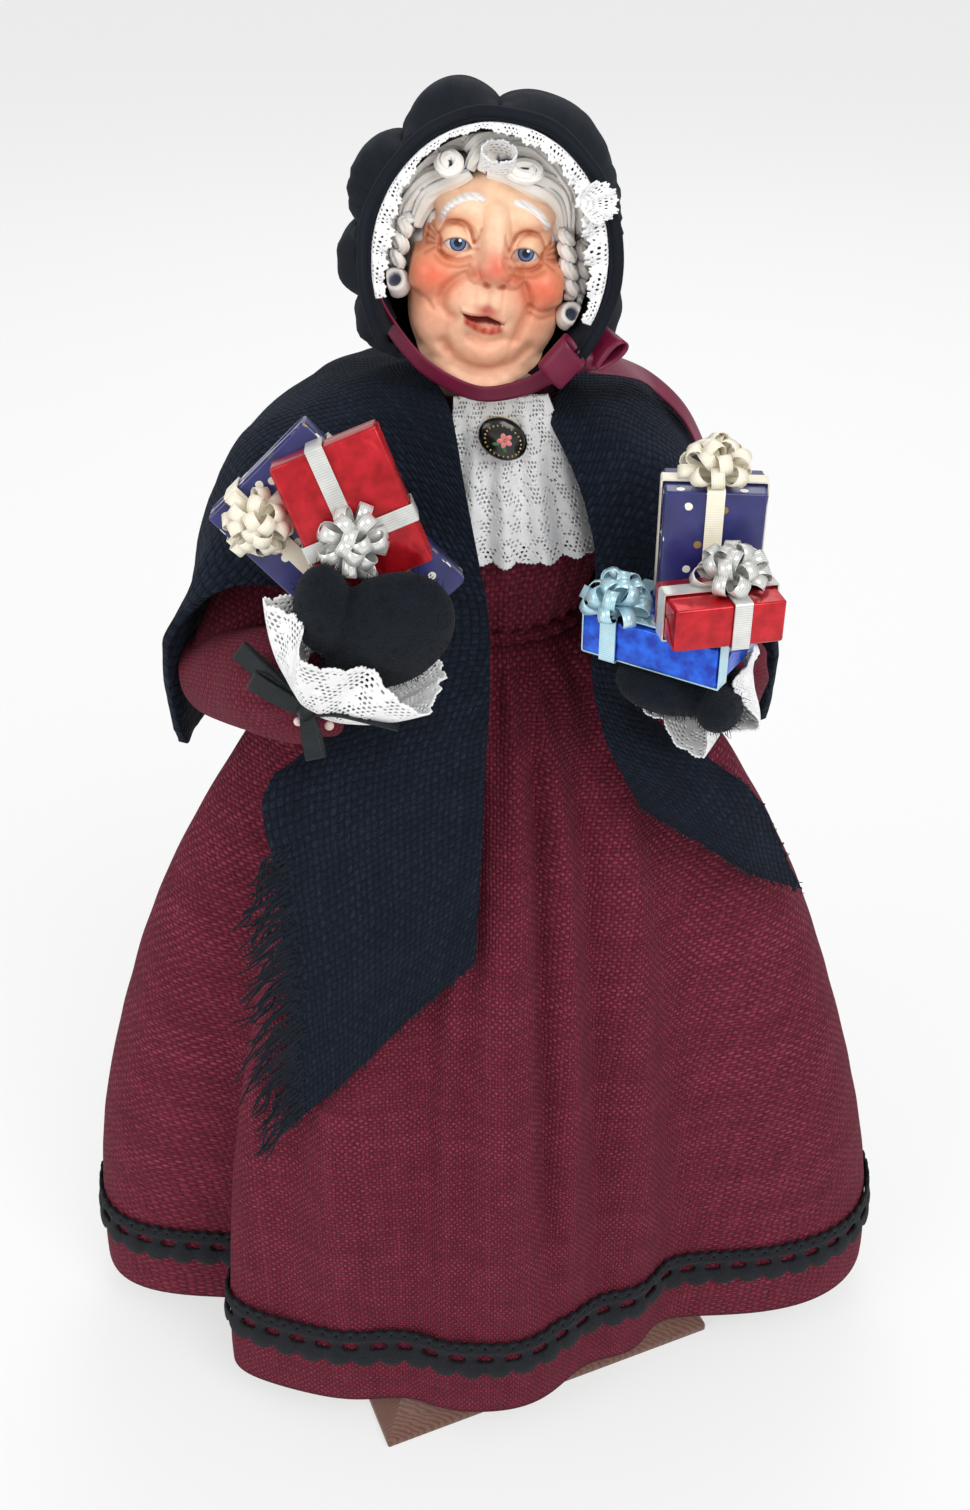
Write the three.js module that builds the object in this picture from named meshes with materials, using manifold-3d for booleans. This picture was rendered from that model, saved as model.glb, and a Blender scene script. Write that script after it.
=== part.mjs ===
// A standing cloth doll: an old lady in a wool dress, shawl and bonnet who carries wrapped gift boxes.
// Frame: millimetres, +Z up, the doll faces -Y, and the origin is the middle of the wooden base's underside.
// "right" and "left" are the doll's own sides, so its right hand is at -X.
import * as THREE from 'three';
import { mergeVertices } from 'three/addons/utils/BufferGeometryUtils.js';
import Module from 'manifold-3d';

const wasm = await Module();
wasm.setup();

// Driving dimensions, in millimetres and degrees.
const FIT = 0.35; // gap between pieces that touch
const SWING_ROOM = 1.2; // gap kept beside the forearms, which swing

const BASE_SIDE = 96;
const BASE_HEIGHT = 13;
const BASE_EDGE = 2.5; // upright edge below the bevel
const BASE_BEVEL = 8; // how far the bevel runs in
const BASE_TURN = 22.8; // the doll stands turned on its base
const DOWEL_RADIUS = 5;
const DOWEL_SEAT = 9; // depth of the dowel's hole in the base
const DOWEL_IN_TORSO = 20;

const HEM_RISE = 1.2; // hem above the base's top
const SKIRT_LENGTH = 206;
const SKIRT_CLOTH = 2;
const HEM_HALF_WIDTH = 110;
const HEM_HALF_DEPTH = 62;
const WAIST_HALF_WIDTH = 23;
const WAIST_HALF_DEPTH = 20;
const PETTICOAT_HEM_RISE = 5; // petticoat's hem above the skirt's hem
const PETTICOAT_TOP_DROP = 12; // petticoat's top below the waist
const BRAID_RISE = 15; // braid's lower edge above the hem
const BRAID_WIDTH = 13;
const BRAID_CLOTH = 1.3;

const TORSO_HEIGHT = 53; // waist to the neck's foot
const TORSO_BELOW_WAIST = 10;
const CHEST_HALF_WIDTH = 25;
const CHEST_HALF_DEPTH = 20;
const TORSO_WAIST_HALF_WIDTH = 19;
const TORSO_WAIST_HALF_DEPTH = 16;
const NECK_FOOT_RADIUS = 9;
const TORSO_LEAN = -4; // the chest lies this far forward of the waist
const BODICE_CLOTH = 1.6;

const WIRE_RADIUS = 1.2; // armature wire
const SHOULDER_RISE = 38; // shoulder line above the waist
const SHOULDER_HALF_WIDTH = 32;
const SLEEVE_RADIUS = 9.5;
const SLEEVE_PUFF = 10.5; // widest radius of the forearm sleeve
const ELBOW_RADIUS = 9.5;
const WRIST_RADIUS = 5;
const ELBOW_RAISE = 7; // how far an elbow bends up, and down below
const ELBOW_DROP = 12;

const SHAWL_CLOTH = 2.4;
const LACE = 0.9; // thickness of a gathered lace trim
const RIBBON = 0.7; // thickness of a satin ribbon, doubled
const RIBBON_WIDTH = 6;

const HEAD_HALF_WIDTH = 14.2;
const HEAD_HALF_DEPTH = 17;
const HEAD_HALF_HEIGHT = 20;
const HEAD_RISE = 28; // head's middle above the neck's foot
const HEAD_FORWARD = -19;
const HEAD_ROLL = 7;
const HEAD_PITCH = -6;
const NECK_RADIUS = 6;
const NECK_FORWARD = -7;
const NECK_SEAT = 12; // depth of the neck peg in the torso
const HAIR_THICKNESS = 2.5;
const BONNET_CLOTH = 2.2;
const BRIM_DEPTH = 11;
const BRIM_CLOTH = 1.8;
const CROWN_LOBES = 11;
const CROWN_LOBE_HEIGHT = 2.2;

const BOX_RIBBON_WIDTH = 3.2;
const BOX_RIBBON = 0.5;
const GIFT_BOW_RADIUS = 6.6;

// Each gift box is [width, depth, height], the height standing out of the face that carries its bow.
const NAVY_FLAT_BOX = [41, 25, 6.5];
const RED_FLAT_BOX = [20, 26, 6.5];
const BLUE_BOX = [27, 17, 8];
const RED_SMALL_BOX = [20, 12, 8];
const NAVY_TALL_BOX = [18, 11, 22];

// Heights that follow from them.
const HEM = BASE_HEIGHT + HEM_RISE;
const WAIST = HEM + SKIRT_LENGTH;
const NECK_FOOT = WAIST + TORSO_HEIGHT;
const SHOULDER = WAIST + SHOULDER_RISE;

const radians = THREE.MathUtils.degToRad;
const vector = (x, y, z) => new THREE.Vector3(x, y, z);

// Solids from geometry and back.

function solidOf(geometry) {
  const plain = geometry.clone();
  plain.deleteAttribute('normal');
  plain.deleteAttribute('uv');
  const merged = mergeVertices(plain, 1e-4);
  return new wasm.Manifold(new wasm.Mesh({
    numProp: 3,
    vertProperties: merged.attributes.position.array,
    triVerts: new Uint32Array(merged.index.array),
  }));
}

function geometryOf(solid) {
  const made = solid.getMesh();
  const geometry = new THREE.BufferGeometry();
  geometry.setAttribute('position', new THREE.BufferAttribute(new Float32Array(made.vertProperties), 3));
  geometry.setIndex(new THREE.BufferAttribute(new Uint32Array(made.triVerts), 1));
  geometry.computeVertexNormals();
  return geometry;
}

const join = (...geometries) => geometryOf(geometries.map(solidOf).reduce((a, b) => a.add(b)));
const cut = (geometry, ...cutters) => geometryOf(
  cutters.map(solidOf).reduce((rest, cutter) => rest.subtract(cutter), solidOf(geometry)),
);

// The largest body of a cut cloth: crumbs that a cutter leaves behind are dropped.
function largest(geometry) {
  const bodies = solidOf(geometry).decompose();
  return geometryOf(bodies.reduce((a, b) => (b.volume() > a.volume() ? b : a)));
}

// The slice of a form between two heights.
function between(geometry, low, high) {
  const block = (z) => new THREE.BoxGeometry(400, 400, 400).translate(0, 0, z);
  return cut(geometry, block(low - 200), block(high + 200));
}

// Closed forms lofted through rings of points, each ring turning the same way.

function loft(rings, closeLoop = false) {
  const count = rings[0].length;
  const points = rings.flat();
  const faces = [];
  const strips = closeLoop ? rings.length : rings.length - 1;
  for (let i = 0; i < strips; i += 1) {
    const low = i * count;
    const high = ((i + 1) % rings.length) * count;
    for (let j = 0; j < count; j += 1) {
      const k = (j + 1) % count;
      faces.push(low + j, low + k, high + k, low + j, high + k, high + j);
    }
  }
  const cap = (ring, flip) => {
    const first = rings.indexOf(ring) * count;
    const middle = points.length;
    points.push(ring.reduce((sum, p) => sum.add(p), vector(0, 0, 0)).divideScalar(count));
    for (let j = 0; j < count; j += 1) {
      const k = (j + 1) % count;
      faces.push(...(flip ? [middle, first + k, first + j] : [middle, first + j, first + k]));
    }
  };
  if (!closeLoop) {
    cap(rings[0], true);
    cap(rings[rings.length - 1], false);
  }
  const geometry = new THREE.BufferGeometry().setFromPoints(points);
  geometry.setIndex(faces);
  return solidOf(geometry).volume() < 0 ? turned(geometry) : geometry;
}

function turned(geometry) {
  const index = Array.from(geometry.index.array);
  for (let i = 0; i < index.length; i += 3) {
    [index[i + 1], index[i + 2]] = [index[i + 2], index[i + 1]];
  }
  geometry.setIndex(index);
  return geometry;
}

// A cloth sheet of a given thickness over a grid of points: rows of equal length.
function sheet(rows, thickness) {
  const across = rows[0].length;
  const at = (i, j) => rows[THREE.MathUtils.clamp(i, 0, rows.length - 1)][
    THREE.MathUtils.clamp(j, 0, across - 1)];
  const sides = [0.5, -0.5].map((share) => rows.map((row, i) => row.map((point, j) => {
    const along = at(i + 1, j).clone().sub(at(i - 1, j));
    const over = at(i, j + 1).clone().sub(at(i, j - 1));
    return point.clone().addScaledVector(along.cross(over).normalize(), share * thickness);
  })));
  const rings = rows.map((row, i) => [...sides[0][i], ...[...sides[1][i]].reverse()]);
  return loft(rings);
}

// A limb of changing radius along a smooth path.
function limb(path, radii, sides = 9, steps = 5) {
  const curve = new THREE.CatmullRomCurve3(path);
  const frames = curve.computeFrenetFrames(steps, false);
  const girth = new THREE.SplineCurve(radii.map((r, i) => new THREE.Vector2(i / (radii.length - 1), r)));
  const rings = frames.tangents.map((_, i) => {
    const middle = curve.getPointAt(i / steps);
    const radius = girth.getPoint(i / steps).y;
    return Array.from({ length: sides }, (__, j) => {
      const turn = (j / sides) * 2 * Math.PI;
      return middle.clone()
        .addScaledVector(frames.normals[i], radius * Math.cos(turn))
        .addScaledVector(frames.binormals[i], radius * Math.sin(turn));
    });
  });
  return loft(rings);
}

function wire(path, radius, steps) {
  const section = new THREE.Shape().absarc(0, 0, radius, 0, 2 * Math.PI);
  const curve = new THREE.CatmullRomCurve3(path);
  return new THREE.ExtrudeGeometry(section, {
    steps, extrudePath: curve, bevelEnabled: false, curveSegments: 4,
  });
}

function ellipsoid(middle, radii, wide = 12, high = 8) {
  return new THREE.SphereGeometry(1, wide, high).rotateX(Math.PI / 2)
    .scale(...radii).translate(middle.x, middle.y, middle.z);
}

function uprightCylinder(radius, low, high, x = 0, y = 0, sides = 16) {
  return new THREE.CylinderGeometry(radius, radius, high - low, sides).rotateX(Math.PI / 2)
    .translate(x, y, (low + high) / 2);
}

// Materials.
function finish(color, roughness, metalness = 0) {
  return new THREE.MeshStandardMaterial({ color, roughness, metalness });
}

const materials = {
  wood: finish(0x6b4433, 0.5),
  dowel: finish(0xc9a878, 0.7),
  wire: finish(0xb9bcc0, 0.4, 0.9),
  batting: finish(0xe9e4da, 1),
  muslin: finish(0xd9cdb8, 0.95),
  wool: finish(0x60222f, 0.95),
  braid: finish(0x1a1e24, 0.9),
  shawl: finish(0x10161f, 1),
  mitten: finish(0x0e141d, 1),
  bonnet: finish(0x15191f, 0.9),
  lace: finish(0xe6e8ea, 0.9),
  ribbon: finish(0x7a1f42, 0.45),
  blackRibbon: finish(0x12171b, 0.5),
  skin: finish(0xeeb795, 0.5),
  hair: finish(0xdad8d0, 0.6),
  navy: finish(0x232c66, 0.35),
  red: finish(0xb8121f, 0.25, 0.4),
  blue: finish(0x0b3fc0, 0.25, 0.4),
  cream: finish(0xf3ecd8, 0.5),
  silver: finish(0xc9ccc8, 0.35),
  iceBlue: finish(0xa9d3e4, 0.4),
  cameo: finish(0x0c0c0e, 0.2),
  gilt: finish(0xb79a4a, 0.35, 0.8),
};

const doll = new THREE.Group();

function add(parent, name, geometry, material) {
  const mesh = new THREE.Mesh(geometry, material);
  mesh.name = name;
  parent.add(mesh);
  return mesh;
}

// Base and dowel.

function baseBlock() {
  const corners = [[-1, -1], [1, -1], [1, 1], [-1, 1]];
  const ring = (half, z) => corners.map(([x, y]) => vector(x * half, y * half, z));
  const half = BASE_SIDE / 2;
  const block = loft([ring(half, 0), ring(half, BASE_EDGE), ring(half - BASE_BEVEL, BASE_HEIGHT)]);
  return cut(block, uprightCylinder(DOWEL_RADIUS + FIT, BASE_HEIGHT - DOWEL_SEAT, BASE_HEIGHT + 1));
}

add(doll, 'base_block', baseBlock(), materials.wood).rotation.z = radians(BASE_TURN);
const dowelTop = WAIST - TORSO_BELOW_WAIST + DOWEL_IN_TORSO;
add(doll, 'stand_dowel',
  uprightCylinder(DOWEL_RADIUS, BASE_HEIGHT - DOWEL_SEAT + FIT, dowelTop - FIT), materials.dowel);

// Skirt, petticoat and braid share one folded outline. Angles run from the front towards the doll's left.
const PLEATS = [
  { at: -67, width: 8, depth: 0.27 },
  { at: 57, width: 14, depth: 0.28 },
  { at: 32, width: 16, depth: 0.19 },
  { at: -20, width: 9, depth: 0.05 },
  { at: 118, width: 11, depth: 0.14 },
  { at: 152, width: 10, depth: 0.16 },
  { at: 186, width: 10, depth: 0.13 },
  { at: 216, width: 11, depth: 0.16 },
  { at: 248, width: 10, depth: 0.14 },
];
const SKIRT_BELL = 1.6; // how late the skirt draws in towards the waist
const SKIRT_HIP = 0.72; // how full it is at the hip
const SKIRT_SIDES = 40;

function pleat(degrees) {
  return PLEATS.reduce((sum, p) => {
    const away = THREE.MathUtils.euclideanModulo(degrees - p.at + 180, 360) - 180;
    return sum + p.depth * Math.exp(-((away / p.width) ** 2));
  }, 0);
}

// One ring of the skirt at a height above the hem, drawn in along its normals by inset.
function skirtRing(height, inset) {
  const rise = THREE.MathUtils.clamp(height / SKIRT_LENGTH, 0, 1);
  const full = (1 - rise ** SKIRT_BELL) ** SKIRT_HIP;
  const halfWidth = WAIST_HALF_WIDTH + (HEM_HALF_WIDTH - WAIST_HALF_WIDTH) * full;
  const halfDepth = WAIST_HALF_DEPTH + (HEM_HALF_DEPTH - WAIST_HALF_DEPTH) * full;
  const fold = Math.sqrt(1 - rise);
  const point = (j) => {
    const degrees = (j / SKIRT_SIDES) * 360;
    const [s, c] = [Math.sin(radians(degrees)), Math.cos(radians(degrees))];
    const radius = 1 / Math.hypot(s / halfWidth, c / halfDepth);
    const folded = radius * (1 - fold * pleat(degrees));
    return vector(folded * s, -folded * c, HEM + height);
  };
  return Array.from({ length: SKIRT_SIDES }, (_, j) => {
    const along = point(j + 1).sub(point(j - 1)).normalize();
    return point(j).add(vector(-along.y, along.x, 0).multiplyScalar(inset));
  });
}

function heights(low, high, count) {
  return Array.from({ length: count }, (_, i) => low + ((high - low) * i) / (count - 1));
}
const skirtHeights = heights(0, SKIRT_LENGTH, 7);
function filledSkirt(grow, reach = 0) {
  const rings = skirtHeights.map((h) => skirtRing(h, -grow));
  if (reach > 0) {
    rings.unshift(rings[0].map((p) => p.clone().add(vector(0, 0, -reach))));
    rings.push(rings[rings.length - 1].map((p) => p.clone().add(vector(0, 0, reach))));
  }
  return loft(rings);
}
add(doll, 'skirt', cut(filledSkirt(0), filledSkirt(-SKIRT_CLOTH, 1)), materials.wool);

const petticoat = cut(
  between(filledSkirt(-SKIRT_CLOTH - FIT), HEM + PETTICOAT_HEM_RISE, WAIST - PETTICOAT_TOP_DROP),
  uprightCylinder(DOWEL_RADIUS + FIT, 0, WAIST),
);
add(doll, 'petticoat', petticoat, materials.batting);

const braid = between(filledSkirt(FIT + BRAID_CLOTH), HEM + BRAID_RISE, HEM + BRAID_RISE + BRAID_WIDTH);
add(doll, 'skirt_braid', cut(braid, filledSkirt(FIT)), materials.braid);

// Torso: a stuffed form with oval sections, and the bodice that covers it.
const TORSO_SIDES = 20;
const torsoOutline = [
  [-TORSO_BELOW_WAIST, TORSO_WAIST_HALF_WIDTH - 3, TORSO_WAIST_HALF_DEPTH - 3],
  [0, TORSO_WAIST_HALF_WIDTH, TORSO_WAIST_HALF_DEPTH],
  [0.5 * SHOULDER_RISE, 0.95 * CHEST_HALF_WIDTH, CHEST_HALF_DEPTH],
  [SHOULDER_RISE, CHEST_HALF_WIDTH, 0.95 * CHEST_HALF_DEPTH],
  [SHOULDER_RISE + 0.6 * (TORSO_HEIGHT - SHOULDER_RISE), 0.78 * CHEST_HALF_WIDTH, 0.75 * CHEST_HALF_DEPTH],
  [TORSO_HEIGHT, NECK_FOOT_RADIUS, NECK_FOOT_RADIUS],
];

function torsoForm(grow, low, high) {
  const curve = (k) => new THREE.SplineCurve(torsoOutline.map((row) => new THREE.Vector2(row[0], row[k])));
  const [widths, depths] = [curve(1), curve(2)];
  const steps = 8;
  const rings = [];
  for (let i = 0; i <= steps; i += 1) {
    const [wide, deep] = [widths.getPoint(i / steps), depths.getPoint(i / steps)];
    const height = i === 0 ? wide.x - low : wide.x + (i === steps ? high : 0);
    const lean = TORSO_LEAN * THREE.MathUtils.clamp(wide.x / SHOULDER_RISE, 0, 1);
    rings.push(Array.from({ length: TORSO_SIDES }, (_, j) => {
      const turn = (j / TORSO_SIDES) * 2 * Math.PI;
      const [x, y] = [(wide.y + grow) * Math.cos(turn), (deep.y + grow) * Math.sin(turn)];
      return vector(x, lean + y, WAIST + height);
    }));
  }
  return loft(rings);
}

// Arms: each has a shoulder, an elbow that bends, a wrist and a hand. Points are read from the shoulder line.
const ARMS = {
  right: {
    side: -1,
    elbow: vector(-57, -18, -46),
    wrist: vector(-29, -61, -26),
    hand: vector(-16, -68, -4),
    thumb: vector(-1, -0.1, 0.25),
  },
  left: {
    side: 1,
    elbow: vector(47, -10, -48),
    wrist: vector(46, -49, -29),
    hand: vector(33, -63, -24),
    thumb: vector(0.75, -0.65, -0.1),
  },
};
for (const arm of Object.values(ARMS)) {
  const lift = vector(0, 0, SHOULDER);
  arm.shoulder = vector(arm.side * SHOULDER_HALF_WIDTH, 0, SHOULDER);
  for (const place of ['elbow', 'wrist', 'hand']) arm[place].add(lift);
}

const toward = (from, to, reach) => from.clone().add(to.clone().sub(from).setLength(reach));
const short = (from, to, by) => toward(from, to, from.distanceTo(to) - by);
const ELBOW_WIRE_START = 2; // the forearm's wire starts this far past the elbow's middle
const ELBOW_CUP = ELBOW_RADIUS + 2 * FIT; // the upper sleeve's end is hollowed round the elbow
const UPPER_WIRE_END = ELBOW_CUP + 2; // the upper arm's wire stops this far short of the elbow

function shoulderWire(grow) {
  const chest = vector(0, TORSO_LEAN, NECK_FOOT - NECK_SEAT - WIRE_RADIUS - 3);
  const { right, left } = ARMS;
  return wire([
    short(right.shoulder, right.elbow, UPPER_WIRE_END - grow), right.shoulder, chest, left.shoulder,
    short(left.shoulder, left.elbow, UPPER_WIRE_END - grow),
  ], WIRE_RADIUS + grow, 16);
}

const HAND_WIRE = 9; // how far the wire runs into the mitten
function forearmWire(arm, grow) {
  const start = toward(arm.elbow, arm.wrist, ELBOW_WIRE_START - grow);
  const end = toward(arm.wrist, arm.hand, HAND_WIRE + grow);
  return wire([start, arm.wrist, end], WIRE_RADIUS + grow, 8);
}

function upperSleeve(arm, grow) {
  const tip = short(arm.shoulder, arm.elbow, 2);
  const middle = arm.shoulder.clone().lerp(arm.elbow, 0.5);
  const inner = vector(arm.shoulder.x - arm.side * 6, arm.shoulder.y, arm.shoulder.z + 2);
  const radii = [SLEEVE_RADIUS - 2, SLEEVE_RADIUS, SLEEVE_RADIUS, ELBOW_RADIUS].map((r) => r + grow);
  return limb([inner, arm.shoulder, middle, tip], radii);
}

function forearmSleeve(arm, grow) {
  const middle = arm.elbow.clone().lerp(arm.wrist, 0.55);
  const radii = [ELBOW_RADIUS - 0.3, SLEEVE_PUFF, WRIST_RADIUS].map((r) => r + grow);
  const end = toward(arm.elbow, arm.wrist, arm.elbow.distanceTo(arm.wrist) + grow);
  const tube = limb([arm.elbow, middle, end], radii);
  return join(tube, ellipsoid(arm.elbow, Array(3).fill(ELBOW_RADIUS + grow), 10, 6));
}

// A forearm piece turned about its elbow, on the level axis that lifts the hand.
function swung(geometry, arm, degrees) {
  const ahead = arm.wrist.clone().sub(arm.elbow).setZ(0).normalize();
  const turn = new THREE.Matrix4().makeRotationAxis(vector(ahead.y, -ahead.x, 0), radians(degrees));
  return geometry.clone().translate(...arm.elbow.clone().negate()).applyMatrix4(turn).translate(...arm.elbow);
}

const bodiceOutside = (grow) => torsoForm(FIT + BODICE_CLOTH + grow, 0, 0);
const torso = cut(
  torsoForm(0, 0, 0),
  uprightCylinder(DOWEL_RADIUS + FIT, WAIST - TORSO_BELOW_WAIST - 1, dowelTop),
  uprightCylinder(NECK_RADIUS + FIT, NECK_FOOT - NECK_SEAT, NECK_FOOT + 1, 0, NECK_FORWARD),
  shoulderWire(FIT),
);
add(doll, 'torso_core', torso, materials.muslin);
add(doll, 'shoulder_wire', shoulderWire(0), materials.wire);

// The bodice is open at the waist, where the skirt meets it, and at the neck.
const BODICE_NECK_DROP = 4;
const bodice = cut(
  between(bodiceOutside(0), WAIST + FIT, NECK_FOOT - BODICE_NECK_DROP),
  torsoForm(FIT, 2, 2),
  shoulderWire(FIT),
);
add(doll, 'bodice', bodice, materials.wool);

for (const [name, arm] of Object.entries(ARMS)) {
  const elbowRoom = forearmSleeve(arm, ELBOW_CUP - ELBOW_RADIUS);
  const sleeve = cut(upperSleeve(arm, 0), bodiceOutside(FIT), shoulderWire(FIT),
    elbowRoom, swung(elbowRoom, arm, ELBOW_RAISE));
  add(doll, `${name}_upper_sleeve`, largest(sleeve), materials.wool);
}

// Shawl: a long stole. Each station runs from its front or neck edge to its outer edge, and is
// read from the shoulder line.
const SHAWL_STATIONS = [
  [[-2, -48, -102], [-17, -50, -117], [-32, -50.5, -135], [-46, -49.5, -151]],
  [[-1, -45, -80], [-15, -47, -90], [-30, -48, -103], [-44, -46.5, -114]],
  [[0, -42, -57], [-15, -43.5, -63], [-30, -43.5, -71], [-45.5, -43, -80]],
  [[0.6, -41, -46], [-14, -42, -51], [-29, -40, -57], [-46.5, -39, -64]],
  [[1, -40, -36], [-13, -40, -39], [-25, -36, -45], [-35.5, -32, -54]],
  [[0.6, -39, -21], [-12, -39, -20], [-23, -33, -20], [-32, -26, -26]],
  [[-2, -37, -6], [-15, -38, -2], [-31, -35, -2], [-47, -34, -16]],
  [[-4.6, -34.5, 8.5], [-20, -33.5, 11.5], [-43, -30, 4], [-66, -26, -33]],
  [[-6.8, -29, 18.5], [-26, -23, 17], [-53, -17.5, -1], [-70, -9, -69]],
  [[-11.8, -15.5, 20.5], [-32, -6, 15], [-55, -2, -8], [-69, 6, -73]],
  [[-13, 2, 18], [-31, 12, 12], [-50, 19, -14], [-56, 26, -68]],
  [[0, 9, 20], [0, 23, 12], [0, 34, -18], [0, 39, -62]],
  [[13, 2, 18], [30, 12, 11], [46, 17, -16], [50, 23, -63]],
  [[15, -14, 18], [32, -6, 12], [49, -4, -12], [60, 2, -64]],
  [[13, -26, 16], [28, -21, 12], [46, -20, -6], [62, -14, -60]],
  [[17, -33, 7], [30, -32, 6], [45, -30, -6], [60, -27, -31]],
  [[21, -36, -6], [28, -36, -7], [35, -34, -10], [45, -32, -18]],
  [[22, -37, -22], [26, -36, -23], [28.5, -33, -24], [31, -28, -26]],
  [[22, -38, -36], [26, -37, -38], [29.5, -34, -42], [33, -29, -48]],
  [[25, -38, -50], [33, -39, -53], [42, -37, -57], [51, -32, -62]],
  [[29, -37, -59], [39, -39, -62], [50, -37, -67], [61, -29, -74]],
  [[34, -35, -69], [47, -36, -78], [60, -32, -90], [73.5, -22, -102]],
];

function shawlRows(stepsAlong, stepsAcross) {
  const lines = [0, 1, 2, 3].map((k) => new THREE.CatmullRomCurve3(
    SHAWL_STATIONS.map((row) => vector(...row[k]).add(vector(0, 0, SHOULDER))),
  ));
  return Array.from({ length: stepsAlong + 1 }, (_, i) => {
    const across = new THREE.CatmullRomCurve3(lines.map((line) => line.getPoint(i / stepsAlong)));
    return Array.from({ length: stepsAcross + 1 }, (__, j) => across.getPoint(j / stepsAcross));
  });
}

const shawlForm = (grow) => sheet(shawlRows(30, 5), SHAWL_CLOTH + 2 * grow);
const shawl = cut(
  shawlForm(0),
  bodiceOutside(FIT),
  filledSkirt(FIT),
  ...Object.values(ARMS).flatMap((arm) => [
    upperSleeve(arm, FIT),
    ...[-ELBOW_DROP, 0, ELBOW_RAISE].map((a) => swung(forearmSleeve(arm, SWING_ROOM), arm, a)),
  ]),
);
add(doll, 'shawl', largest(shawl), materials.shawl);

// Jabot: a lace panel on the chest, under the shawl's front edges, with an oval brooch pinned on it.
const JABOT_TOP = 17.6; // above the shoulder line
const JABOT_LENGTH = 33.6;
const JABOT_ROWS = 6;
const JABOT_OFFSET = 1.6; // lace stands this far off the bodice

function jabotRows() {
  return Array.from({ length: JABOT_ROWS + 1 }, (_, i) => {
    const drop = i / JABOT_ROWS;
    const halfWidth = 9 + 8 * drop;
    const middle = 3 + 6 * drop;
    return Array.from({ length: 9 }, (__, j) => {
      const x = middle + halfWidth * (j / 4 - 1);
      const chest = CHEST_HALF_DEPTH + FIT + BODICE_CLOTH + JABOT_OFFSET;
      const bow = Math.sqrt(Math.max(0, 1 - (x / (CHEST_HALF_WIDTH + 6)) ** 2));
      return vector(x, TORSO_LEAN - chest * bow, SHOULDER + JABOT_TOP - JABOT_LENGTH * drop);
    });
  });
}
const jabot = largest(cut(sheet(jabotRows(), LACE), bodiceOutside(FIT), shawlForm(FIT)));
add(doll, 'jabot_lace', jabot, materials.lace);

const BROOCH_LENGTH = 10;
const BROOCH_WIDTH = 8;
const BROOCH_RIM = 1.4;
const BROOCH_DOME = 1.8;
const BROOCH_DROP = 5.2; // below the jabot's top
const BROOCH_X = 3.4;
const brooch = new THREE.Group();
const broochFace = TORSO_LEAN - (CHEST_HALF_DEPTH + FIT + BODICE_CLOTH + JABOT_OFFSET) * Math.sqrt(
  1 - (BROOCH_X / (CHEST_HALF_WIDTH + 6)) ** 2) - LACE / 2 - 2 * FIT;
brooch.position.set(BROOCH_X, broochFace, SHOULDER + JABOT_TOP - BROOCH_DROP);
brooch.rotation.set(Math.PI / 2, 0, 0);
brooch.rotateZ(radians(-35));
doll.add(brooch);
const oval = (grow) => new THREE.Shape().absellipse(0, 0, BROOCH_LENGTH / 2 + grow, BROOCH_WIDTH / 2 + grow,
  0, 2 * Math.PI);
add(brooch, 'brooch_mount', new THREE.ExtrudeGeometry(oval(0), {
  depth: BROOCH_RIM, bevelEnabled: false, curveSegments: 10,
}), materials.gilt);
const dome = cut(
  new THREE.SphereGeometry(1, 16, 8).scale(BROOCH_LENGTH / 2 - 0.5, BROOCH_WIDTH / 2 - 0.5, BROOCH_DOME)
    .translate(0, 0, BROOCH_RIM + FIT),
  new THREE.BoxGeometry(40, 40, 40).translate(0, 0, BROOCH_RIM + FIT - 20),
);
add(brooch, 'brooch_cabochon', dome, materials.cameo);

// Head: a cast head on a neck peg, modelled hair, and a bonnet with its lace and ribbon.
const head = new THREE.Group();
head.position.set(0.5, HEAD_FORWARD, NECK_FOOT + HEAD_RISE);
head.rotation.set(radians(HEAD_PITCH), radians(HEAD_ROLL), 0);
doll.add(head);
head.updateMatrix();
const intoHead = head.matrix.clone().invert();

const [FACE_W, FACE_D, FACE_H] = [HEAD_HALF_WIDTH, HEAD_HALF_DEPTH, HEAD_HALF_HEIGHT];
function skull(grow) {
  const cheek = (side) => ellipsoid(vector(side * 0.5 * FACE_W, -0.55 * FACE_D, -0.32 * FACE_H),
    [0.46 * FACE_W + grow, 0.42 * FACE_D + grow, 0.34 * FACE_H + grow], 8, 6);
  const chin = ellipsoid(vector(0, -0.62 * FACE_D, -0.76 * FACE_H),
    [0.36 * FACE_W + grow, 0.3 * FACE_D + grow, 0.22 * FACE_H + grow], 8, 6);
  const nose = ellipsoid(vector(0, -1.02 * FACE_D, -0.12 * FACE_H),
    [0.2 * FACE_W + grow, 0.2 * FACE_D + grow, 0.16 * FACE_H + grow], 8, 6);
  const dome = ellipsoid(vector(0, 0, 0), [FACE_W + grow, FACE_D + grow, FACE_H + grow], 16, 10);
  return join(dome, cheek(-1), cheek(1), chin, nose);
}
const neckPeg = (grow) => uprightCylinder(NECK_RADIUS + grow, NECK_FOOT - NECK_SEAT + FIT - grow,
  NECK_FOOT + 0.5 * HEAD_RISE + grow, 0, NECK_FORWARD).applyMatrix4(intoHead);
add(head, 'head_casting', join(skull(0), neckPeg(0)), materials.skin);

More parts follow.
